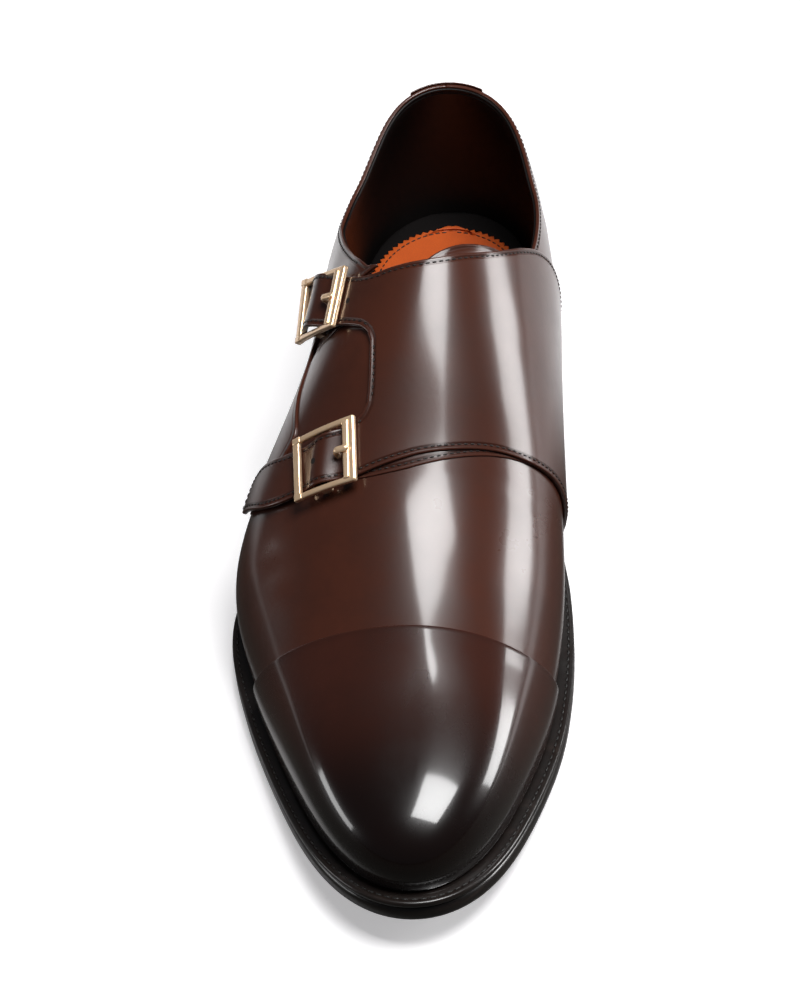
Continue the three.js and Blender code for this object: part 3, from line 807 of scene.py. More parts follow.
def calf_finish(name, colour, deep, roughness, coat, gloss, seam=SEAM_INSET, shade_toe=0.0, pore=0.16):
    """Brown calf, hand coloured: cloudy tone, darker edges, pores, a polish coat, and a painted highlight
    along each folded edge.
    """
    material, nodes, links, shader = principled(name)
    tree = material.node_tree
    place, face = leather_face(tree)
    border = nodes.new("ShaderNodeGroup")
    border.node_tree = sewn_edge
    border.inputs["Seam"].default_value = seam
    from_edge = nodes.new("ShaderNodeAttribute")
    from_edge.attribute_name = "edge"
    links.new(from_edge.outputs["Fac"], border.inputs["Distance"])
    clouded = tuple(0.62 * a + 0.38 * b for a, b in zip(colour, deep))
    result = mix_colours(tree, face.outputs["Cloud"], colour, clouded)
    burnish = calculate(tree, "MULTIPLY", border.outputs["Dark"], 0.25)
    result = mix_colours(tree, burnish, result, deep)
    # Painted highlight along the folded edges: the colour turns paler right at the edge.
    painted_fold_highlight = calculate(tree, "MULTIPLY", border.outputs["Fold Highlight"], 0.3)
    result = mix_colours(tree, painted_fold_highlight, result, shade_of(colour, 2))
    if shade_toe:
        split = nodes.new("ShaderNodeSeparateXYZ")
        links.new(place, split.inputs[0])
        seam_y = (Y0 - CAP_SEAM - 8) * MM
        tip_y = (Y0 - LAST_LENGTH + 12) * MM
        towards_tip = ramp_between(tree, split.outputs["Y"], seam_y, tip_y)
        wax = calculate(tree, "MULTIPLY", towards_tip, shade_toe)
        result = mix_colours(tree, wax, result, shade_of(deep, 0.25))
    links.new(result, shader.inputs["Base Color"])
    uneven = calculate(tree, "MULTIPLY_ADD", face.outputs["Cloud"], 0.08, roughness - 0.03)
    uneven = calculate(tree, "MULTIPLY_ADD", border.outputs["Trough"], 0.1, uneven)
    links.new(uneven, shader.inputs["Roughness"])
    shader.inputs["Coat Weight"].default_value = coat
    shader.inputs["Coat Roughness"].default_value = gloss
    shader.inputs["Coat IOR"].default_value = 1.48
    shader.inputs["Specular IOR Level"].default_value = 0.3
    pores = grain_bump(tree, shader, face.outputs["Height"], pore, 0.06)
    trough = grain_bump(tree, shader, border.outputs["Trough"], 0.9, 0.45)
    trough.invert = True
    links.new(pores.outputs["Normal"], trough.inputs["Normal"])
    return material


BROWN = (0.064, 0.0178, 0.0096)
DEEP_BROWN = (0.01, 0.0038, 0.0028)
vamp_leather = calf_finish("brown_vamp_calf", BROWN, DEEP_BROWN, 0.3, 0.8, 0.14)
quarter_leather = calf_finish("brown_quarter_calf", BROWN, DEEP_BROWN, 0.31, 0.7, 0.16)
# The lining's near-black colour is partly painted shade, standing for the shade inside the shoe.
LINING_SHADE_BROWN = (0.0035, 0.0022, 0.002)
LINING_SHADE_DEEP = (0.002, 0.0015, 0.0015)
lining_leather = calf_finish("lining_calf_painted_shade", LINING_SHADE_BROWN, LINING_SHADE_DEEP, 0.5, 0, 0.4)


def half_rows(count, first, last_one):
    """Row stations with the rows closer round the toe and the heel."""
    return station_of(np.linspace(sigma_of(first), sigma_of(last_one), count + 1))


def draw_halves(stations, columns, offset, lower=0, foot=0.0):
    """Both halves of a shell from the feather edge to its top edge, joined over the ridge."""
    whole = bmesh.new()
    for side in (-1, 1):
        half, along, up = flat_net(len(stations) - 1, columns)
        t = stations[np.rint(along * (len(stations) - 1)).astype(int)]
        up = up if side < 0 else 1 - up
        g = side * (1 - np.maximum(up * top_share(t, side, lower), foot))
        place_net(half, on_last(row_station(t, g), g, offset))
        join_net(whole, half)
    bmesh.ops.remove_doubles(whole, verts=whole.verts, dist=0.02 * MM)
    return whole


def make_vamp():
    """One piece over the toes, up to the slot and back under the quarters."""
    stations = half_rows(130, 96, LAST_LENGTH)
    bm = draw_halves(stations, 62, 0, lower=7)
    mark_edges(bm)
    vamp = add_piece("vamp", bm, vamp_leather, ["upper"])
    give_wall(vamp, LEATHER - 0.05, 0.3)


def make_lining():
    """Lies inside the whole upper and ends just below its top edges."""
    stations = half_rows(150, 0, LAST_LENGTH)
    bm = draw_halves(stations, 46, -LEATHER - 0.08, lower=0.4)
    mark_edges(bm)
    lining = add_piece("lining", bm, lining_leather)
    give_wall(lining, LINING, 0.3)


make_vamp()
make_lining()

# The front edge of each quarter past the collar, row by row: station and share of its top, and
# station of its foot at the feather edge.
QUARTER_FRONT = {
    -1: {"top_t": [104, 108, 110, 110.6, 111, 111.4, 112, 116, 128.5, 139, 149.8, 157],
         "top_g": [0, 0.27, 0.2, 0.3, 0.42, 0.52, 0.575, 0.575, 0.548, 0.487, 0.417, 0.5],
         "foot_t": [104, 105, 106, 107, 108, 109, 110, 116, 127, 134, 141, 147]},
    1: {"top_t": [104, 108, 112, 118, 124],
        "top_g": [0, 0.34, 0.4, 0.5, 0.58],
        "foot_t": [104, 107, 110, 114, 118]},
}
LAP = {"from": 92, "to": 106, -1: 1.3, 1: 0.9}


def quarter_lap(t, side):
    """A quarter lies on the lining behind and climbs over vamp and throat piece in front."""
    return LAP[side] * smooth_step((t - LAP["from"]) / (LAP["to"] - LAP["from"]))


def quarter_rows(side, collar_rows=70, front_rows=52):
    """Top and foot of each row across a quarter, as stations and shares round the last."""
    table = QUARTER_FRONT[side]
    back_t = half_rows(collar_rows, 0, SLOT["corner"])
    back_g = 1 - collar_share(back_t, side)
    knots = np.linspace(0, 1, len(table["top_t"]))
    fine = np.linspace(0, 1, front_rows + 1)[1:]
    front_g = list(table["top_g"])
    front_g[0] = back_g[-1]
    top_t = np.concatenate([back_t, np.interp(fine, knots, table["top_t"])])
    top_g = np.concatenate([back_g, np.interp(fine, knots, front_g)])
    foot_t = np.concatenate([back_t, np.interp(fine, knots, table["foot_t"])])
    return top_t, top_g, foot_t


def round_off(values, times=3):
    """Softens the corners of a run of numbers, keeping its ends."""
    for _ in range(times):
        softened = (values[:-2] + 2 * values[1:-1] + values[2:]) / 4
        values = np.concatenate([values[:1], softened, values[-1:]])
    return values


def make_quarter(side, name):
    """One quarter, sewn along its folded collar edge."""
    top_t, top_g, foot_t = (round_off(row) for row in quarter_rows(side))
    rows = len(top_t) - 1
    bm, along, up = flat_net(rows, 44)
    row = np.rint(along * rows).astype(int)
    up = up if side < 0 else 1 - up
    t = foot_t[row] + (top_t[row] - foot_t[row]) * up
    g = side * (1 - (1 - top_g[row]) * up)
    points = on_last(t, g, quarter_lap(t, side))
    place_net(bm, points)
    mark_edges(bm)
    surface = BVHTree.FromBMesh(bm)
    collar = top_t < SLOT["corner"]
    route = on_last(top_t, side * top_g, quarter_lap(top_t, side))[collar] * MM
    seam = bmesh.new()
    sew(seam, route, surface, SEAM_INSET * side)
    finish_seam(f"{name}_seam", seam)
    quarter = add_piece(name, bm, quarter_leather)
    give_wall(quarter, LEATHER, 0.42, 4)


make_quarter(-1, "outer_quarter")
make_quarter(1, "inner_quarter")


def make_throat_piece():
    """Sewn on top of the vamp's upper edge, it fills the slot under the straps."""
    edge_g = [-0.66, -0.45, -0.3, -0.2, -0.115, -0.006, 0.164, 0.35, 0.5]
    edge_t = [160, 165, 168.5, 169.5, 169.6, 168.4, 164.2, 158.5, 154.5]
    front = curve_through(edge_g, edge_t)
    back = 120
    lift = 0.55
    bm, along, across = flat_net(44, 84)
    g = edge_g[0] + 1.16 * across
    t = back + (front(g) - back) * along
    place_net(bm, on_last(t, g, lift))
    mark_edges(bm)
    surface = BVHTree.FromBMesh(bm)
    shares = np.linspace(edge_g[0], edge_g[-1], 200)
    seam = bmesh.new()
    sew(seam, on_last(front(shares), shares, lift) * MM, surface, SEAM_INSET)
    finish_seam("throat_seam", seam)
    throat = add_piece("throat_piece", bm, quarter_leather)
    give_wall(throat, 0.9, 0.28)


def make_tongue():
    """Lined calf under the slot; its top edge just shows behind the straps."""
    edge_g = [-0.27, -0.1, 0.02, 0.1, 0.17, 0.25, 0.32, 0.41]
    edge_t = [118, 114.5, 110.6, 107.6, 104.8, 101.7, 99, 96]
    top = curve_through(edge_g, edge_t)
    front = 174
    depth = 1.9
    bm, along, across = flat_net(44, 56)
    g = edge_g[0] + 0.68 * across
    t = top(g) + (front - top(g)) * along
    place_net(bm, on_last(t, g, -depth))
    mark_edges(bm)
    tongue = add_piece("tongue_leather", bm, quarter_leather, ["tongue"])
    give_wall(tongue, 1.6, 0.6, 4)


make_throat_piece()
make_tongue()


def make_back_strip():
    """A strip over the seam where the quarters meet at the heel."""
    thickness = 0.4
    top_width = 13
    foot_width = 9
    bm, along, up = flat_net(30, 60)
    side = np.where(along < 0.5, 1, -1)
    width = top_width - (top_width - foot_width) * (1 - up)
    reach = np.abs(2 * along - 1) * width
    t_try = np.linspace(0, 40, 200)
    points = last_surface(sigma_of(t_try), np.full(len(t_try), 0.6))
    run = np.concatenate([[0], np.cumsum(np.linalg.norm(np.diff(points, axis=0), axis=1))])
    t = np.interp(reach, run, t_try)
    share = np.where(side > 0, collar_share(t, 1), collar_share(t, -1))
    g = side * (1 - share * up)
    place_net(bm, on_last(t, g, thickness))
    bmesh.ops.reverse_faces(bm, faces=bm.faces)
    mark_edges(bm)
    strip = add_piece("back_strip", bm, quarter_leather)
    give_wall(strip, thickness, 0.15)


make_back_strip()

# ---- toe cap ------------------------------------------------------------------------------
# A straight cap of the same calf is laid over the vamp with its back edge folded under. It is
# polished to a mirror with wax, which darkens it to near black at the tip.
CAP_LIFT = 0.3
CAP_WALL = 1.2


def make_toe_cap():
    """The cap's back edge has no seam in its face, so its trough lies off the piece."""
    cap_brown = (0.045, 0.0125, 0.0075)
    cap_leather = calf_finish(
        "mirror_cap_calf", cap_brown, DEEP_BROWN, 0.24, 1.0, 0.085, seam=-5, shade_toe=0.92, pore=0.05,
    )
    stations = half_rows(84, CAP_SEAM, LAST_LENGTH)
    bm = draw_halves(stations, 64, CAP_LIFT + CAP_WALL, foot=0.03)
    mark_edges(bm)
    cap = add_piece("toe_cap_leather", bm, cap_leather, ["toe_cap"])
    give_wall(cap, CAP_WALL, 0.55, 5)


make_toe_cap()

# ---- welt and outsole ---------------------------------------------------------------------
# A leather welt runs round the shoe and is sewn to the leather outsole; the edges are trimmed
# round, inked near black and polished. Heel lifts are built up and edged the same way.
EDGE = {"t": [0, 60, 80, 120, 160, 200, 287], "margin": [2.5, 2.5, 2.5, 3, 5.5, 6, 6.5]}


def edge_margin(t):
    """How far the trimmed edge stands out from the feather edge."""
    return np.interp(t, EDGE["t"], EDGE["margin"])


def edge_ink_finish():
    """Inked and waxed leather edge, with the fine drag lines of the edge iron."""
    ink = (0.014, 0.0095, 0.008)
    material, nodes, links, shader = principled("black_edge_ink")
    tree = material.node_tree
    place, face = leather_face(tree)
    face.inputs["Cloud Scale"].default_value = 60
    stretch = nodes.new("ShaderNodeMapping")
    stretch.inputs["Scale"].default_value = (60, 60, 1400)
    links.new(place, stretch.inputs["Vector"])
    drag = nodes.new("ShaderNodeTexNoise")
    drag.inputs["Scale"].default_value = 1
    drag.inputs["Detail"].default_value = 3
    links.new(stretch.outputs["Vector"], drag.inputs["Vector"])
    lines = ramp_between(tree, drag.outputs["Fac"], 0.5, 0.8)
    result = mix_colours(tree, face.outputs["Cloud"], ink, shade_of(ink, 0.5))
    links.new(mix_colours(tree, lines, result, shade_of(ink, 1.9)), shader.inputs["Base Color"])
    wear = calculate(tree, "MULTIPLY_ADD", face.outputs["Cloud"], 0.15, 0.28)
    links.new(wear, shader.inputs["Roughness"])
    shader.inputs["Coat Weight"].default_value = 0.5
    shader.inputs["Coat Roughness"].default_value = 0.15
    pores = calculate(tree, "MULTIPLY", face.outputs["Height"], 0.3)
    grain_bump(tree, shader, calculate(tree, "ADD", drag.outputs["Fac"], pores), 0.35, 0.1)
    return material


edge_ink = edge_ink_finish()


def loft_sole(sigmas, levels, columns):
    """A closed layer of the sole from its edge profile: levels go up from the bottom, each with
    an inset from the edge margin and a height function."""
    inner_side = [(1, k) for k in range(len(levels))]
    outer_side = [(0, k) for k in reversed(range(len(levels)))]
    shares = np.linspace(0, 1, columns + 1)
    ring = [(s, 0) for s in shares[1:-1]] + inner_side
    ring += [(s, len(levels) - 1) for s in shares[::-1][1:-1]] + outer_side
    ring = ring + ring[:1]
    bm, along, around = flat_net(len(sigmas) - 1, len(ring) - 1)
    row = np.rint(along * (len(sigmas) - 1)).astype(int)
    column = np.rint(around * (len(ring) - 1)).astype(int)
    share = np.array([r[0] for r in ring])[column]
    level = np.array([r[1] for r in ring])[column]
    points = np.zeros((len(row), 3))
    for k, (margin, z_of) in enumerate(levels):
        chosen = level == k
        sigma = sigmas[row[chosen]]
        points[chosen] = across_sole(sigma, share[chosen], margin(station_of(sigma)), z_of)
    place_net(bm, points)
    holes = [e for e in bm.edges if e.is_boundary]
    if holes:
        bmesh.ops.contextual_create(bm, geom=holes)
    bmesh.ops.recalc_face_normals(bm, faces=bm.faces)
    return bm


def make_outsole():
    """The edge profile lists height and inset from the tread up to the welt."""
    sigmas = even_sigmas(5, 170)
    profile = [
        (0, 1.5), (0.25, 0.75), (0.8, 0.2), (1.8, 0),
        (3.6, 0), (4.6, 0.25), (5.1, 0.65), (5.5, 1.1),
    ]
    levels = [
        (lambda t, inset=inset: edge_margin(t) - inset, lambda t, z=z: tread_z(t) + z)
        for z, inset in profile
    ]
    bm = loft_sole(sigmas, levels, 24)
    add_piece("outsole_leather", bm, edge_ink, ["outsole"])


def make_welt():
    """The profile goes round from the inner foot over the flat top, with the seam's groove, to
    the rounded outer edge: each point has a share of the edge margin, or the inset, and a height."""
    inset = -3
    profile = [
        (inset, 0), (inset, 2.3), (-0.2, 2.5), (0.62, 2.5), (0.66, 2.36), (0.72, 2.36), (0.76, 2.5),
        (0.9, 2.42), (0.97, 2.15), (1, 1.6), (1, 0.9), (0.97, 0.4), (0.9, 0.1), (inset, 0),
    ]
    rows = 400
    whole = bmesh.new()
    for side in (-1, 1):
        half, along, around = flat_net(rows // 2, len(profile) - 1)
        sigma = even_sigmas(5, rows // 2)[np.rint(along * rows / 2).astype(int)]
        column = np.rint(around * (len(profile) - 1)).astype(int)
        out = np.array([p[0] for p in profile])[column]
        up = np.array([p[1] for p in profile])[column]
        edge = edge_margin(station_of(sigma))
        margin = np.where(out < -1, inset, out * edge)
        x, t = outline(sigma, side, margin)
        place_net(half, np.stack([x + X0, Y0 - t, tread_z(t) + OUTSOLE + LAYER_GAP + up], -1))
        if side > 0:
            bmesh.ops.reverse_faces(half, faces=half.faces)
        join_net(whole, half)
    bmesh.ops.remove_doubles(whole, verts=whole.verts, dist=0.02 * MM)
    bmesh.ops.recalc_face_normals(whole, faces=whole.faces)
    surface = BVHTree.FromBMesh(whole)
    add_piece("welt_leather", whole, edge_ink, ["welt"])
    seam = bmesh.new()
    for side in (-1, 1):
        sigma = np.linspace(sigma_of(78), 1, 900)
        x, t = outline(sigma, side, edge_margin(station_of(sigma)) * 0.69)
        route = np.stack([x + X0, Y0 - t, tread_z(t) + OUTSOLE + LAYER_GAP + 2.4], -1) * MM
        sew(seam, route, surface, 0, pitch=2.7, thread=0.75, cover=0.8)
    finish_seam("welt_seam", seam, black_thread)


make_outsole()
make_welt()

HEEL_BREAST = 72
HEEL_MARGIN_FOOT = 1.3
TOP_LIFT = 6
LIFTS = 5


def make_heel():
    """Leather lifts glued and pegged one on another; a shallow line shows at each joint."""
    whole_way = even_sigmas(2, 220)
    breast = sigma_of(HEEL_BREAST)
    sigmas = np.append(whole_way[whole_way < breast], breast)
    levels = []
    for lift in range(LIFTS):
        for share, inset in ((0, 0.22), (0.08, 0.04), (0.2, 0), (0.8, 0), (0.92, 0.04), (1, 0.22)):
            height = (lift + share) / LIFTS
            levels.append((
                lambda t, h=height, i=inset: np.full_like(t, HEEL_MARGIN_FOOT + h - i),
                lambda t, h=height: (TOP_LIFT + 0.05) * (1 - h) + (tread_z(t) - 0.05) * h,
            ))
    bm = loft_sole(sigmas, levels, 16)
    add_piece("heel_lifts", bm, edge_ink, ["heel_stack"])
    rubber, nodes, links, shader = principled("black_heel_rubber")
    tree = rubber.node_tree
    place = nodes.new("ShaderNodeTexCoord").outputs["Object"]
    speck = nodes.new("ShaderNodeTexNoise")
    speck.inputs["Scale"].default_value = 1400
    links.new(place, speck.inputs["Vector"])
    specks = ramp_between(tree, speck.outputs["Fac"], 0.45, 0.7)
    black = mix_colours(tree, specks, (0.012, 0.012, 0.012), (0.03, 0.03, 0.031))
    links.new(black, shader.inputs["Base Color"])
    shader.inputs["Roughness"].default_value = 0.6
    grain_bump(tree, shader, speck.outputs["Fac"], 0.3, 0.1)
    rounds = [(0, 1.0), (0.4, 0.3), (1.2, 0), (5.2, 0), (5.8, 0.2), (TOP_LIFT, 0.4)]
    levels = [
        (lambda t, i=inset: np.full_like(t, HEEL_MARGIN_FOOT - i), lambda t, z=z: np.full_like(t, z))
        for z, inset in rounds
    ]
    bm = loft_sole(sigmas, levels, 16)
    add_piece("heel_top_lift", bm, rubber, ["top_lift"])


make_heel()

# ---- straps -------------------------------------------------------------------------------
# One panel of calf is lasted in at the inner side, crosses the instep and divides into two
# straps. Each edge is folded and sewn, and each strap has holes for its buckle's prong.
# The stations and shares of straps and buckles were read off with the fitted last.
STRAP_WALL = 1.5
BAND = {
    "g": [-0.145, 0.02, 0.17, 0.32, 0.49, 0.63, 0.8, 0.97],
    "back": [113.2, 112.6, 108.4, 101, 88.3, 80, 77, 76],
    "front": [169, 165, 161.8, 158.1, 154.5, 151.4, 149, 147],
}
REAR_STRAP = {
    "g": [-0.75, -0.72, -0.63, -0.48, -0.33, -0.2, -0.145],
    "back": [92, 87.8, 88.5, 98.2, 108, 112.4, 113.2],
    "front": [94.5, 98, 106.2, 115.5, 122.8, 127.2, 129],
}
FRONT_STRAP = {
    "g": [-0.71, -0.68, -0.64, -0.53, -0.42, -0.3, -0.2, -0.145],
    "back": [155.0, 151.5, 150.5, 152.5, 155.6, 156.2, 155, 154],
    "front": [156.0, 159, 161, 166, 169.1, 169.5, 169.3, 169],
}
GAP_CORNER = 3.8
GAP_SKEW = 0.05
BETWEEN_STRAPS = 140
BUCKLES = {
    "front": {"outer_back": (153.3, -0.4), "outer_front": (172.2, -0.35),
              "inner_back": (153.4, -0.165), "inner_front": (171.4, -0.135)},
    "rear": {"outer_back": (88.5, -0.62), "outer_front": (108, -0.64),
             "inner_back": (105.2, -0.333), "inner_front": (124.3, -0.322)},
}
BUCKLE = {"length": 22, "width": 20, "rail": 1.8, "outer_bar": 2.6, "inner_bar": 4, "thick": 2}
BAR = 1.6


def buckle_place(corners, u, w, n):
    """From a buckle's own flat frame to the last: u inwards, w back across, n outwards."""
    along = u / BUCKLE["length"] + 0.5
    across = 0.5 - w / BUCKLE["width"]
    t, g = (
        (corners["outer_back"][i] * (1 - across) + corners["outer_front"][i] * across) * (1 - along)
        + (corners["inner_back"][i] * (1 - across) + corners["inner_front"][i] * across) * along
        for i in (0, 1)
    )
    return on_last(t, g, n)


def strap_lift(t, g):
    """Height of the strap's underside: over the quarter outside, on the upper inside, and up
    over each buckle's centre bar."""
    lift = 0.1 + 1.25 * smooth_step((0.1 - g) / 0.5)
    lift = lift + (t <= BETWEEN_STRAPS) * 3.0 * smooth_step((-0.36 - g) / 0.26)
    for name, corners in BUCKLES.items():
        outer = (corners["outer_back"][1] + corners["outer_front"][1]) / 2
        inner = (corners["inner_back"][1] + corners["inner_front"][1]) / 2
        start = outer + (inner - outer) * (BUCKLE["outer_bar"] + 0.6) / BUCKLE["length"]
        end = inner - (inner - outer) * (BUCKLE["inner_bar"] + 0.6) / BUCKLE["length"]
        mine = (t > BETWEEN_STRAPS) if name == "front" else (t <= BETWEEN_STRAPS)
        lift = lift + mine * 2.5 * np.sin(np.pi * np.clip((g - start) / (end - start), 0, 1)) ** 2
    return lift


def strap_place(t, g):
    """A place on the straps' outside; the gap's end leans outwards towards the back."""
    lean = GAP_SKEW * smooth_step((152 - t) / 34) * np.exp(-((g - BAND["g"][0]) / 0.13) ** 2)
    return on_last(t, g - lean, strap_lift(t, g - lean) + STRAP_WALL)


def gap_rounding(g):
    """The gap between the straps ends in two round corners."""
    away = np.clip((BAND["g"][0] - g) * GIRTH * 0.62, 0, GAP_CORNER)
    return GAP_CORNER - np.sqrt(GAP_CORNER ** 2 - (GAP_CORNER - away) ** 2)


def strap_edges():
    """Back and front edge of the band and of both straps, with the gap's corners rounded."""
    tables = {"band": BAND, "rear": REAR_STRAP, "front": FRONT_STRAP}
    edges = {
        name: (curve_through(table["g"], table["back"]), curve_through(table["g"], table["front"]))
        for name, table in tables.items()
    }
    rear_back, rear_front = edges["rear"]
    front_back, front_front = edges["front"]
    edges["rear"] = (rear_back, lambda g: rear_front(g) + gap_rounding(g))
    edges["front"] = (lambda g: front_back(g) - gap_rounding(g), front_front)
    return edges


def make_straps():
    """Both straps and the band are one sheet, sewn along every edge."""
    edges = strap_edges()
    split = BAND["g"][0]
    whole = bmesh.new()
    strap_rows = 12
    gap_rows = 20

    def add_net(name, rows, columns, first_g, last_g, shares):
        """Rows go from the back edge to the front one, at the given shares of the way."""
        net, along, across = flat_net(rows, columns)
        back, front = edges[name]
        g = first_g + (last_g - first_g) * across
        t = back(g) + (front(g) - back(g)) * np.interp(along * rows, np.arange(rows + 1), shares)
        place_net(net, strap_place(t, g))
        join_net(whole, net)

    even = np.linspace(0, 1, strap_rows + 1)
    add_net("rear", strap_rows, 64, REAR_STRAP["g"][0], split, even)
    add_net("front", strap_rows, 64, FRONT_STRAP["g"][0], split, even)
    stops = [float(edge(split)) for name in ("rear", "front") for edge in edges[name]]
    rows = 2 * strap_rows + gap_rows
    counts = [0, strap_rows, strap_rows + gap_rows, rows]
    split_t = np.interp(np.arange(rows + 1), counts, stops)
    band_shares = (split_t - split_t[0]) / (split_t[-1] - split_t[0])
    add_net("band", rows, 84, split, BAND["g"][-1], band_shares)
    bmesh.ops.remove_doubles(whole, verts=whole.verts, dist=0.25 * MM)
    mark_edges(whole, above_feather=6)
    surface = BVHTree.FromBMesh(whole)
    seam = bmesh.new()
    band_g = np.linspace(split, 0.93, 300)
    for name, table in (("rear", REAR_STRAP), ("front", FRONT_STRAP)):
        g = np.linspace(table["g"][0] + 0.004, split, 240)
        back, front = edges[name]
        outer_edge = back if name == "rear" else front
        inner_edge = front if name == "rear" else back
        band_edge = edges["band"][0 if name == "rear" else 1]
        side = -1 if name == "rear" else 1
        long_g = np.concatenate([g, band_g[1:]])
        long_t = np.concatenate([outer_edge(g), band_edge(band_g[1:])])
        sew(seam, strap_place(long_t, long_g) * MM, surface, SEAM_INSET * side)
        sew(seam, strap_place(inner_edge(g[:-8]), g[:-8]) * MM, surface, -SEAM_INSET * side)
    gap_t = np.linspace(edges["rear"][1](split) + 1.5, edges["front"][0](split) - 1.5, 60)
    sew(seam, strap_place(gap_t, np.full(60, split)) * MM, surface, SEAM_INSET)
    finish_seam("strap_seam", seam)
    strap_leather = calf_finish("brown_strap_calf", BROWN, DEEP_BROWN, 0.31, 0.75, 0.15)
    straps = add_piece("straps", whole, strap_leather, ["strap_panel"])
    give_wall(straps, STRAP_WALL, 0.45, 4)


make_straps()


def punch_holes():
    """A spare hole inside the front buckle, one beside the rear buckle, seen as dark rounds of painted
    shade laid on the strap, not cut through.
    """
    bm = bmesh.new()
    for t, g in ((162.6, -0.29), (117, -0.296), (108, -0.53)):
        spots = strap_place(np.array([t, t + 1, t]), np.array([g, g, g + 0.01]))
        ahead = Vector(spots[1] - spots[0]).normalized()
        normal = ahead.cross(Vector(spots[2] - spots[0])).normalized()
        if normal.z < 0:
            normal.negate()
        lie = normal.to_track_quat("Z", "Y").to_matrix().to_4x4()
        lie.translation = (Vector(spots[0]) + normal * 0.04) * MM
        bmesh.ops.create_circle(bm, cap_ends=True, segments=24, radius=0.95 * MM, matrix=lie)
    # Painted shade: near-black discs lie on the strap where the holes' dark insides would show.
    hole_shade_disc = plain_finish("punched_hole_painted_shade", (0.004, 0.0025, 0.002), 0.9)
    add_piece("strap_holes", bm, hole_shade_disc)


punch_holes()

# ---- buckles ------------------------------------------------------------------------------
# Each buckle is a cast brass frame, gold plated and polished, arched to the foot. Its inner bar
# is broad with a raised rib, its outer bar slim, and a prong rests on the inner bar.
FRAME_BASE = 3.3


def gold_finish():
    """Pale gold plate with a faint haze and fine scratches."""
    material, nodes, links, shader = principled("polished_gold_plate")
    tree = material.node_tree
    place = nodes.new("ShaderNodeTexCoord").outputs["Object"]
    haze = nodes.new("ShaderNodeTexNoise")
    haze.inputs["Scale"].default_value = 420
    haze.inputs["Detail"].default_value = 5
    links.new(place, haze.inputs["Vector"])
    tone = mix_colours(tree, haze.outputs["Fac"], (0.93, 0.62, 0.37), (1.0, 0.75, 0.51))
    links.new(tone, shader.inputs["Base Color"])
    shader.inputs["Metallic"].default_value = 0.6
    dulled = ramp_between(tree, haze.outputs["Fac"], 0.4, 0.7)
    links.new(calculate(tree, "MULTIPLY_ADD", dulled, 0.03, 0.2), shader.inputs["Roughness"])
    grain_bump(tree, shader, haze.outputs["Fac"], 0.03, 0.05)
    return material


gold = gold_finish()


def rounded_block(bm, u0, u1, w0, w1, n0, n1, radius):
    """A bar with rounded edges in a buckle's flat frame, cut across so that it can be arched."""
    made = bmesh.ops.create_cube(bm, size=1)
    bmesh.ops.scale(bm, vec=(u1 - u0, w1 - w0, n1 - n0), verts=made["verts"])
    bmesh.ops.translate(bm, vec=((u0 + u1) / 2, (w0 + w1) / 2, (n0 + n1) / 2), verts=made["verts"])
    edges = list(dict.fromkeys(e for v in made["verts"] for e in v.link_edges))
    bmesh.ops.bevel(bm, geom=edges, offset=radius, segments=4, profile=0.5, affect="EDGES", material=-1)


def buckle_frame():
    """The frame, flat: a plate inset to leave rails and bars, then rounded."""
    bm = bmesh.new()
    half = BUCKLE["length"] / 2
    side = BUCKLE["width"] / 2
    bmesh.ops.create_grid(bm, x_segments=1, y_segments=1, size=1)
    bmesh.ops.scale(bm, vec=(half, side, 1), verts=bm.verts)
    plate = list(bm.faces)
    bmesh.ops.inset_individual(bm, faces=plate, thickness=BUCKLE["rail"], use_even_offset=True)
    for vert in plate[0].verts:
        bar = BUCKLE["outer_bar"] if vert.co.x < 0 else BUCKLE["inner_bar"]
        vert.co.x = math.copysign(half - bar, vert.co.x)
    bmesh.ops.delete(bm, geom=plate, context="FACES_ONLY")
    made = bmesh.ops.extrude_face_region(bm, geom=list(bm.faces))
    lifted = [v for v in made["geom"] if isinstance(v, bmesh.types.BMVert)]
    bmesh.ops.translate(bm, vec=(0, 0, BUCKLE["thick"]), verts=lifted)
    bmesh.ops.recalc_face_normals(bm, faces=bm.faces)
    sharp = [e for e in bm.edges if e.calc_face_angle(0) > 0.5]
    bmesh.ops.bevel(bm, geom=sharp, offset=0.62, segments=4, profile=0.5, affect="EDGES", material=-1)
    return bm


# The rear buckle's outer end stands off, where the foot's side falls away from it.
STAND_OFF = {"outer_back": 3.4, "outer_front": 1.8, "inner_back": 0, "inner_front": 0}


def arched_place(corners, u, w, n):
    """From a buckle's flat frame to the shoe: flat across, arched along the strap."""
    spots = {
        name: on_last(t, g, STAND_OFF[name] if t < BETWEEN_STRAPS else 0)
        for name, (t, g) in corners.items()
    }
    outer = (spots["outer_back"] + spots["outer_front"]) / 2
    inner = (spots["inner_back"] + spots["inner_front"]) / 2
    back = (spots["outer_back"] + spots["inner_back"]) / 2
    front = (spots["outer_front"] + spots["inner_front"]) / 2
    normal = np.cross(inner - outer, back - front)
    normal = normal / np.linalg.norm(normal)
    middle = buckle_place(corners, 0, 0, 0)
    rise = (middle - (outer + inner) / 2) @ normal
    along = (u / BUCKLE["length"] + 0.5)[:, None]
    across = (0.5 - w / BUCKLE["width"])[:, None]
    base = ((spots["outer_back"] * (1 - across) + spots["outer_front"] * across) * (1 - along)
            + (spots["inner_back"] * (1 - across) + spots["inner_front"] * across) * along)
    height = n + rise * (1 - (2 * u / BUCKLE["length"]) ** 2)
    return base + height[:, None] * normal


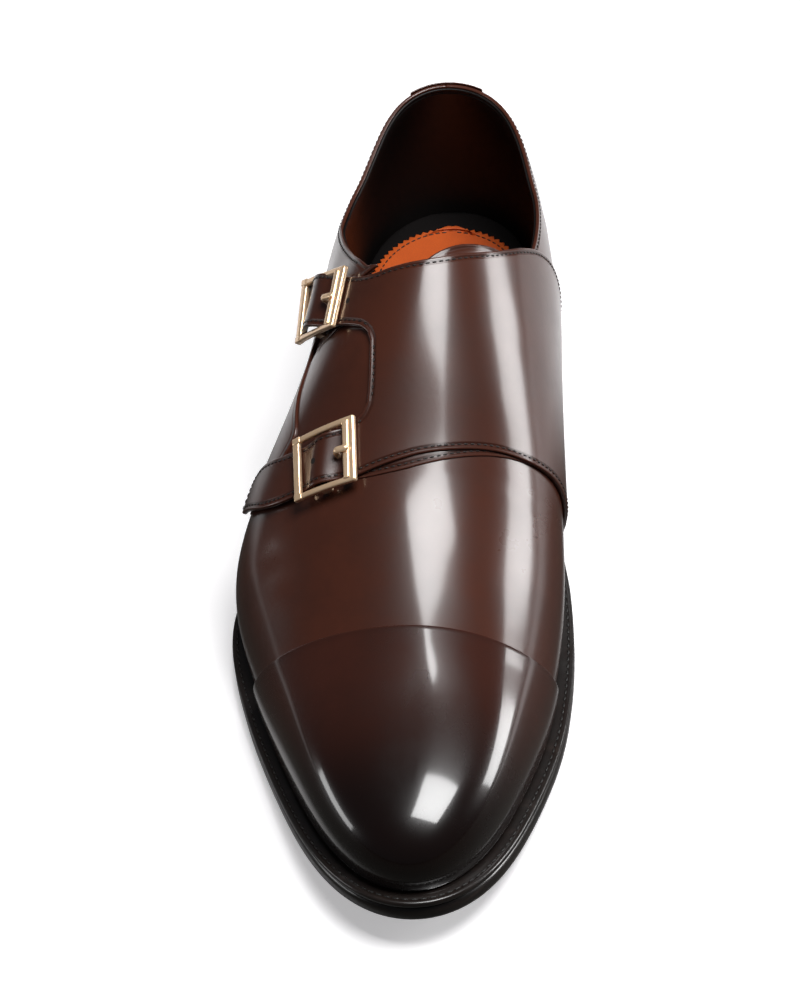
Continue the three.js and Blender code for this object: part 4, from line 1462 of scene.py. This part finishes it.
def arch(bm, corners):
    """Cuts the flat piece across both ways and bends it."""
    reach_u = BUCKLE["length"] / 2
    reach_w = BUCKLE["width"] / 2
    for axis, reach, steps in ((0, reach_u, 22), (1, reach_w, 20)):
        for k in range(1, steps):
            normal = [0, 0, 0]
            normal[axis] = 1
            at = [0, 0, 0]
            at[axis] = -reach + 2 * reach * k / steps
            everything = bm.verts[:] + bm.edges[:] + bm.faces[:]
            bmesh.ops.bisect_plane(bm, geom=everything, plane_co=at, plane_no=normal)
    places = np.array([v.co for v in bm.verts])
    for vert, point in zip(bm.verts, arched_place(corners, places[:, 0], places[:, 1], places[:, 2])):
        vert.co = Vector(point) * MM
    bmesh.ops.recalc_face_normals(bm, faces=bm.faces)


def make_buckle(name):
    """The frame with the inner bar's rib, and at each rail an end boss and a post below."""
    corners = BUCKLES[name]
    half = BUCKLE["length"] / 2
    side = BUCKLE["width"] / 2
    bm = buckle_frame()
    bmesh.ops.translate(bm, vec=(0, 0, FRAME_BASE), verts=bm.verts)
    top = FRAME_BASE + BUCKLE["thick"]
    rounded_block(bm, half - 3.4, half - 1.7, -side + 1.2, side - 1.2, top - 0.6, top + 0.55, 0.3)
    for end in (-1, 1):
        rail = end * (side - BUCKLE["rail"] / 2)
        rounded_block(
            bm, -half + 0.1, -half + 3.1, rail - 1.05, rail + 1.05, FRAME_BASE + 0.1, top + 0.2, 0.4,
        )
        rounded_block(bm, -BAR, BAR, rail - 0.7, rail + 0.7, 1.2, FRAME_BASE + 1, 0.2)
    arch(bm, corners)
    add_piece(f"buckle_{name}_frame", bm, gold, [f"buckle_{name}"])


def make_prong(name):
    """Half round wire, straight out of its hole and bent down on to the inner bar."""
    hole = 4.6
    top = FRAME_BASE + BUCKLE["thick"] + 0.9
    u = curve_through([0, 0.2, 0.45, 0.75, 1], [hole - 0.4, hole - 0.1, hole + 0.9, 7.4, 9.9])
    n = curve_through([0, 0.2, 0.45, 0.75, 1], [1.4, 4.0, top + 0.2, top + 0.35, top + 0.1])
    bm, along, around = flat_net(24, 14)
    slope_u = u(along + 0.01) - u(along - 0.01)
    slope_n = n(along + 0.01) - n(along - 0.01)
    steep = np.hypot(slope_u, slope_n)
    radius = 0.85 * np.sqrt(np.clip((1 - along) / 0.12, 0, 1))
    out = radius * 0.8 * np.sin(2 * np.pi * around)
    aside = radius * 1.25 * np.cos(2 * np.pi * around)
    place_net(bm, arched_place(
        BUCKLES[name],
        u(along) - out * slope_n / steep,
        aside,
        n(along) + out * slope_u / steep,
    ))
    bmesh.ops.recalc_face_normals(bm, faces=bm.faces)
    add_piece(f"buckle_{name}_prong", bm, gold, [f"prong_{name}"])


for buckle_name in BUCKLES:
    make_buckle(buckle_name)
    make_prong(buckle_name)
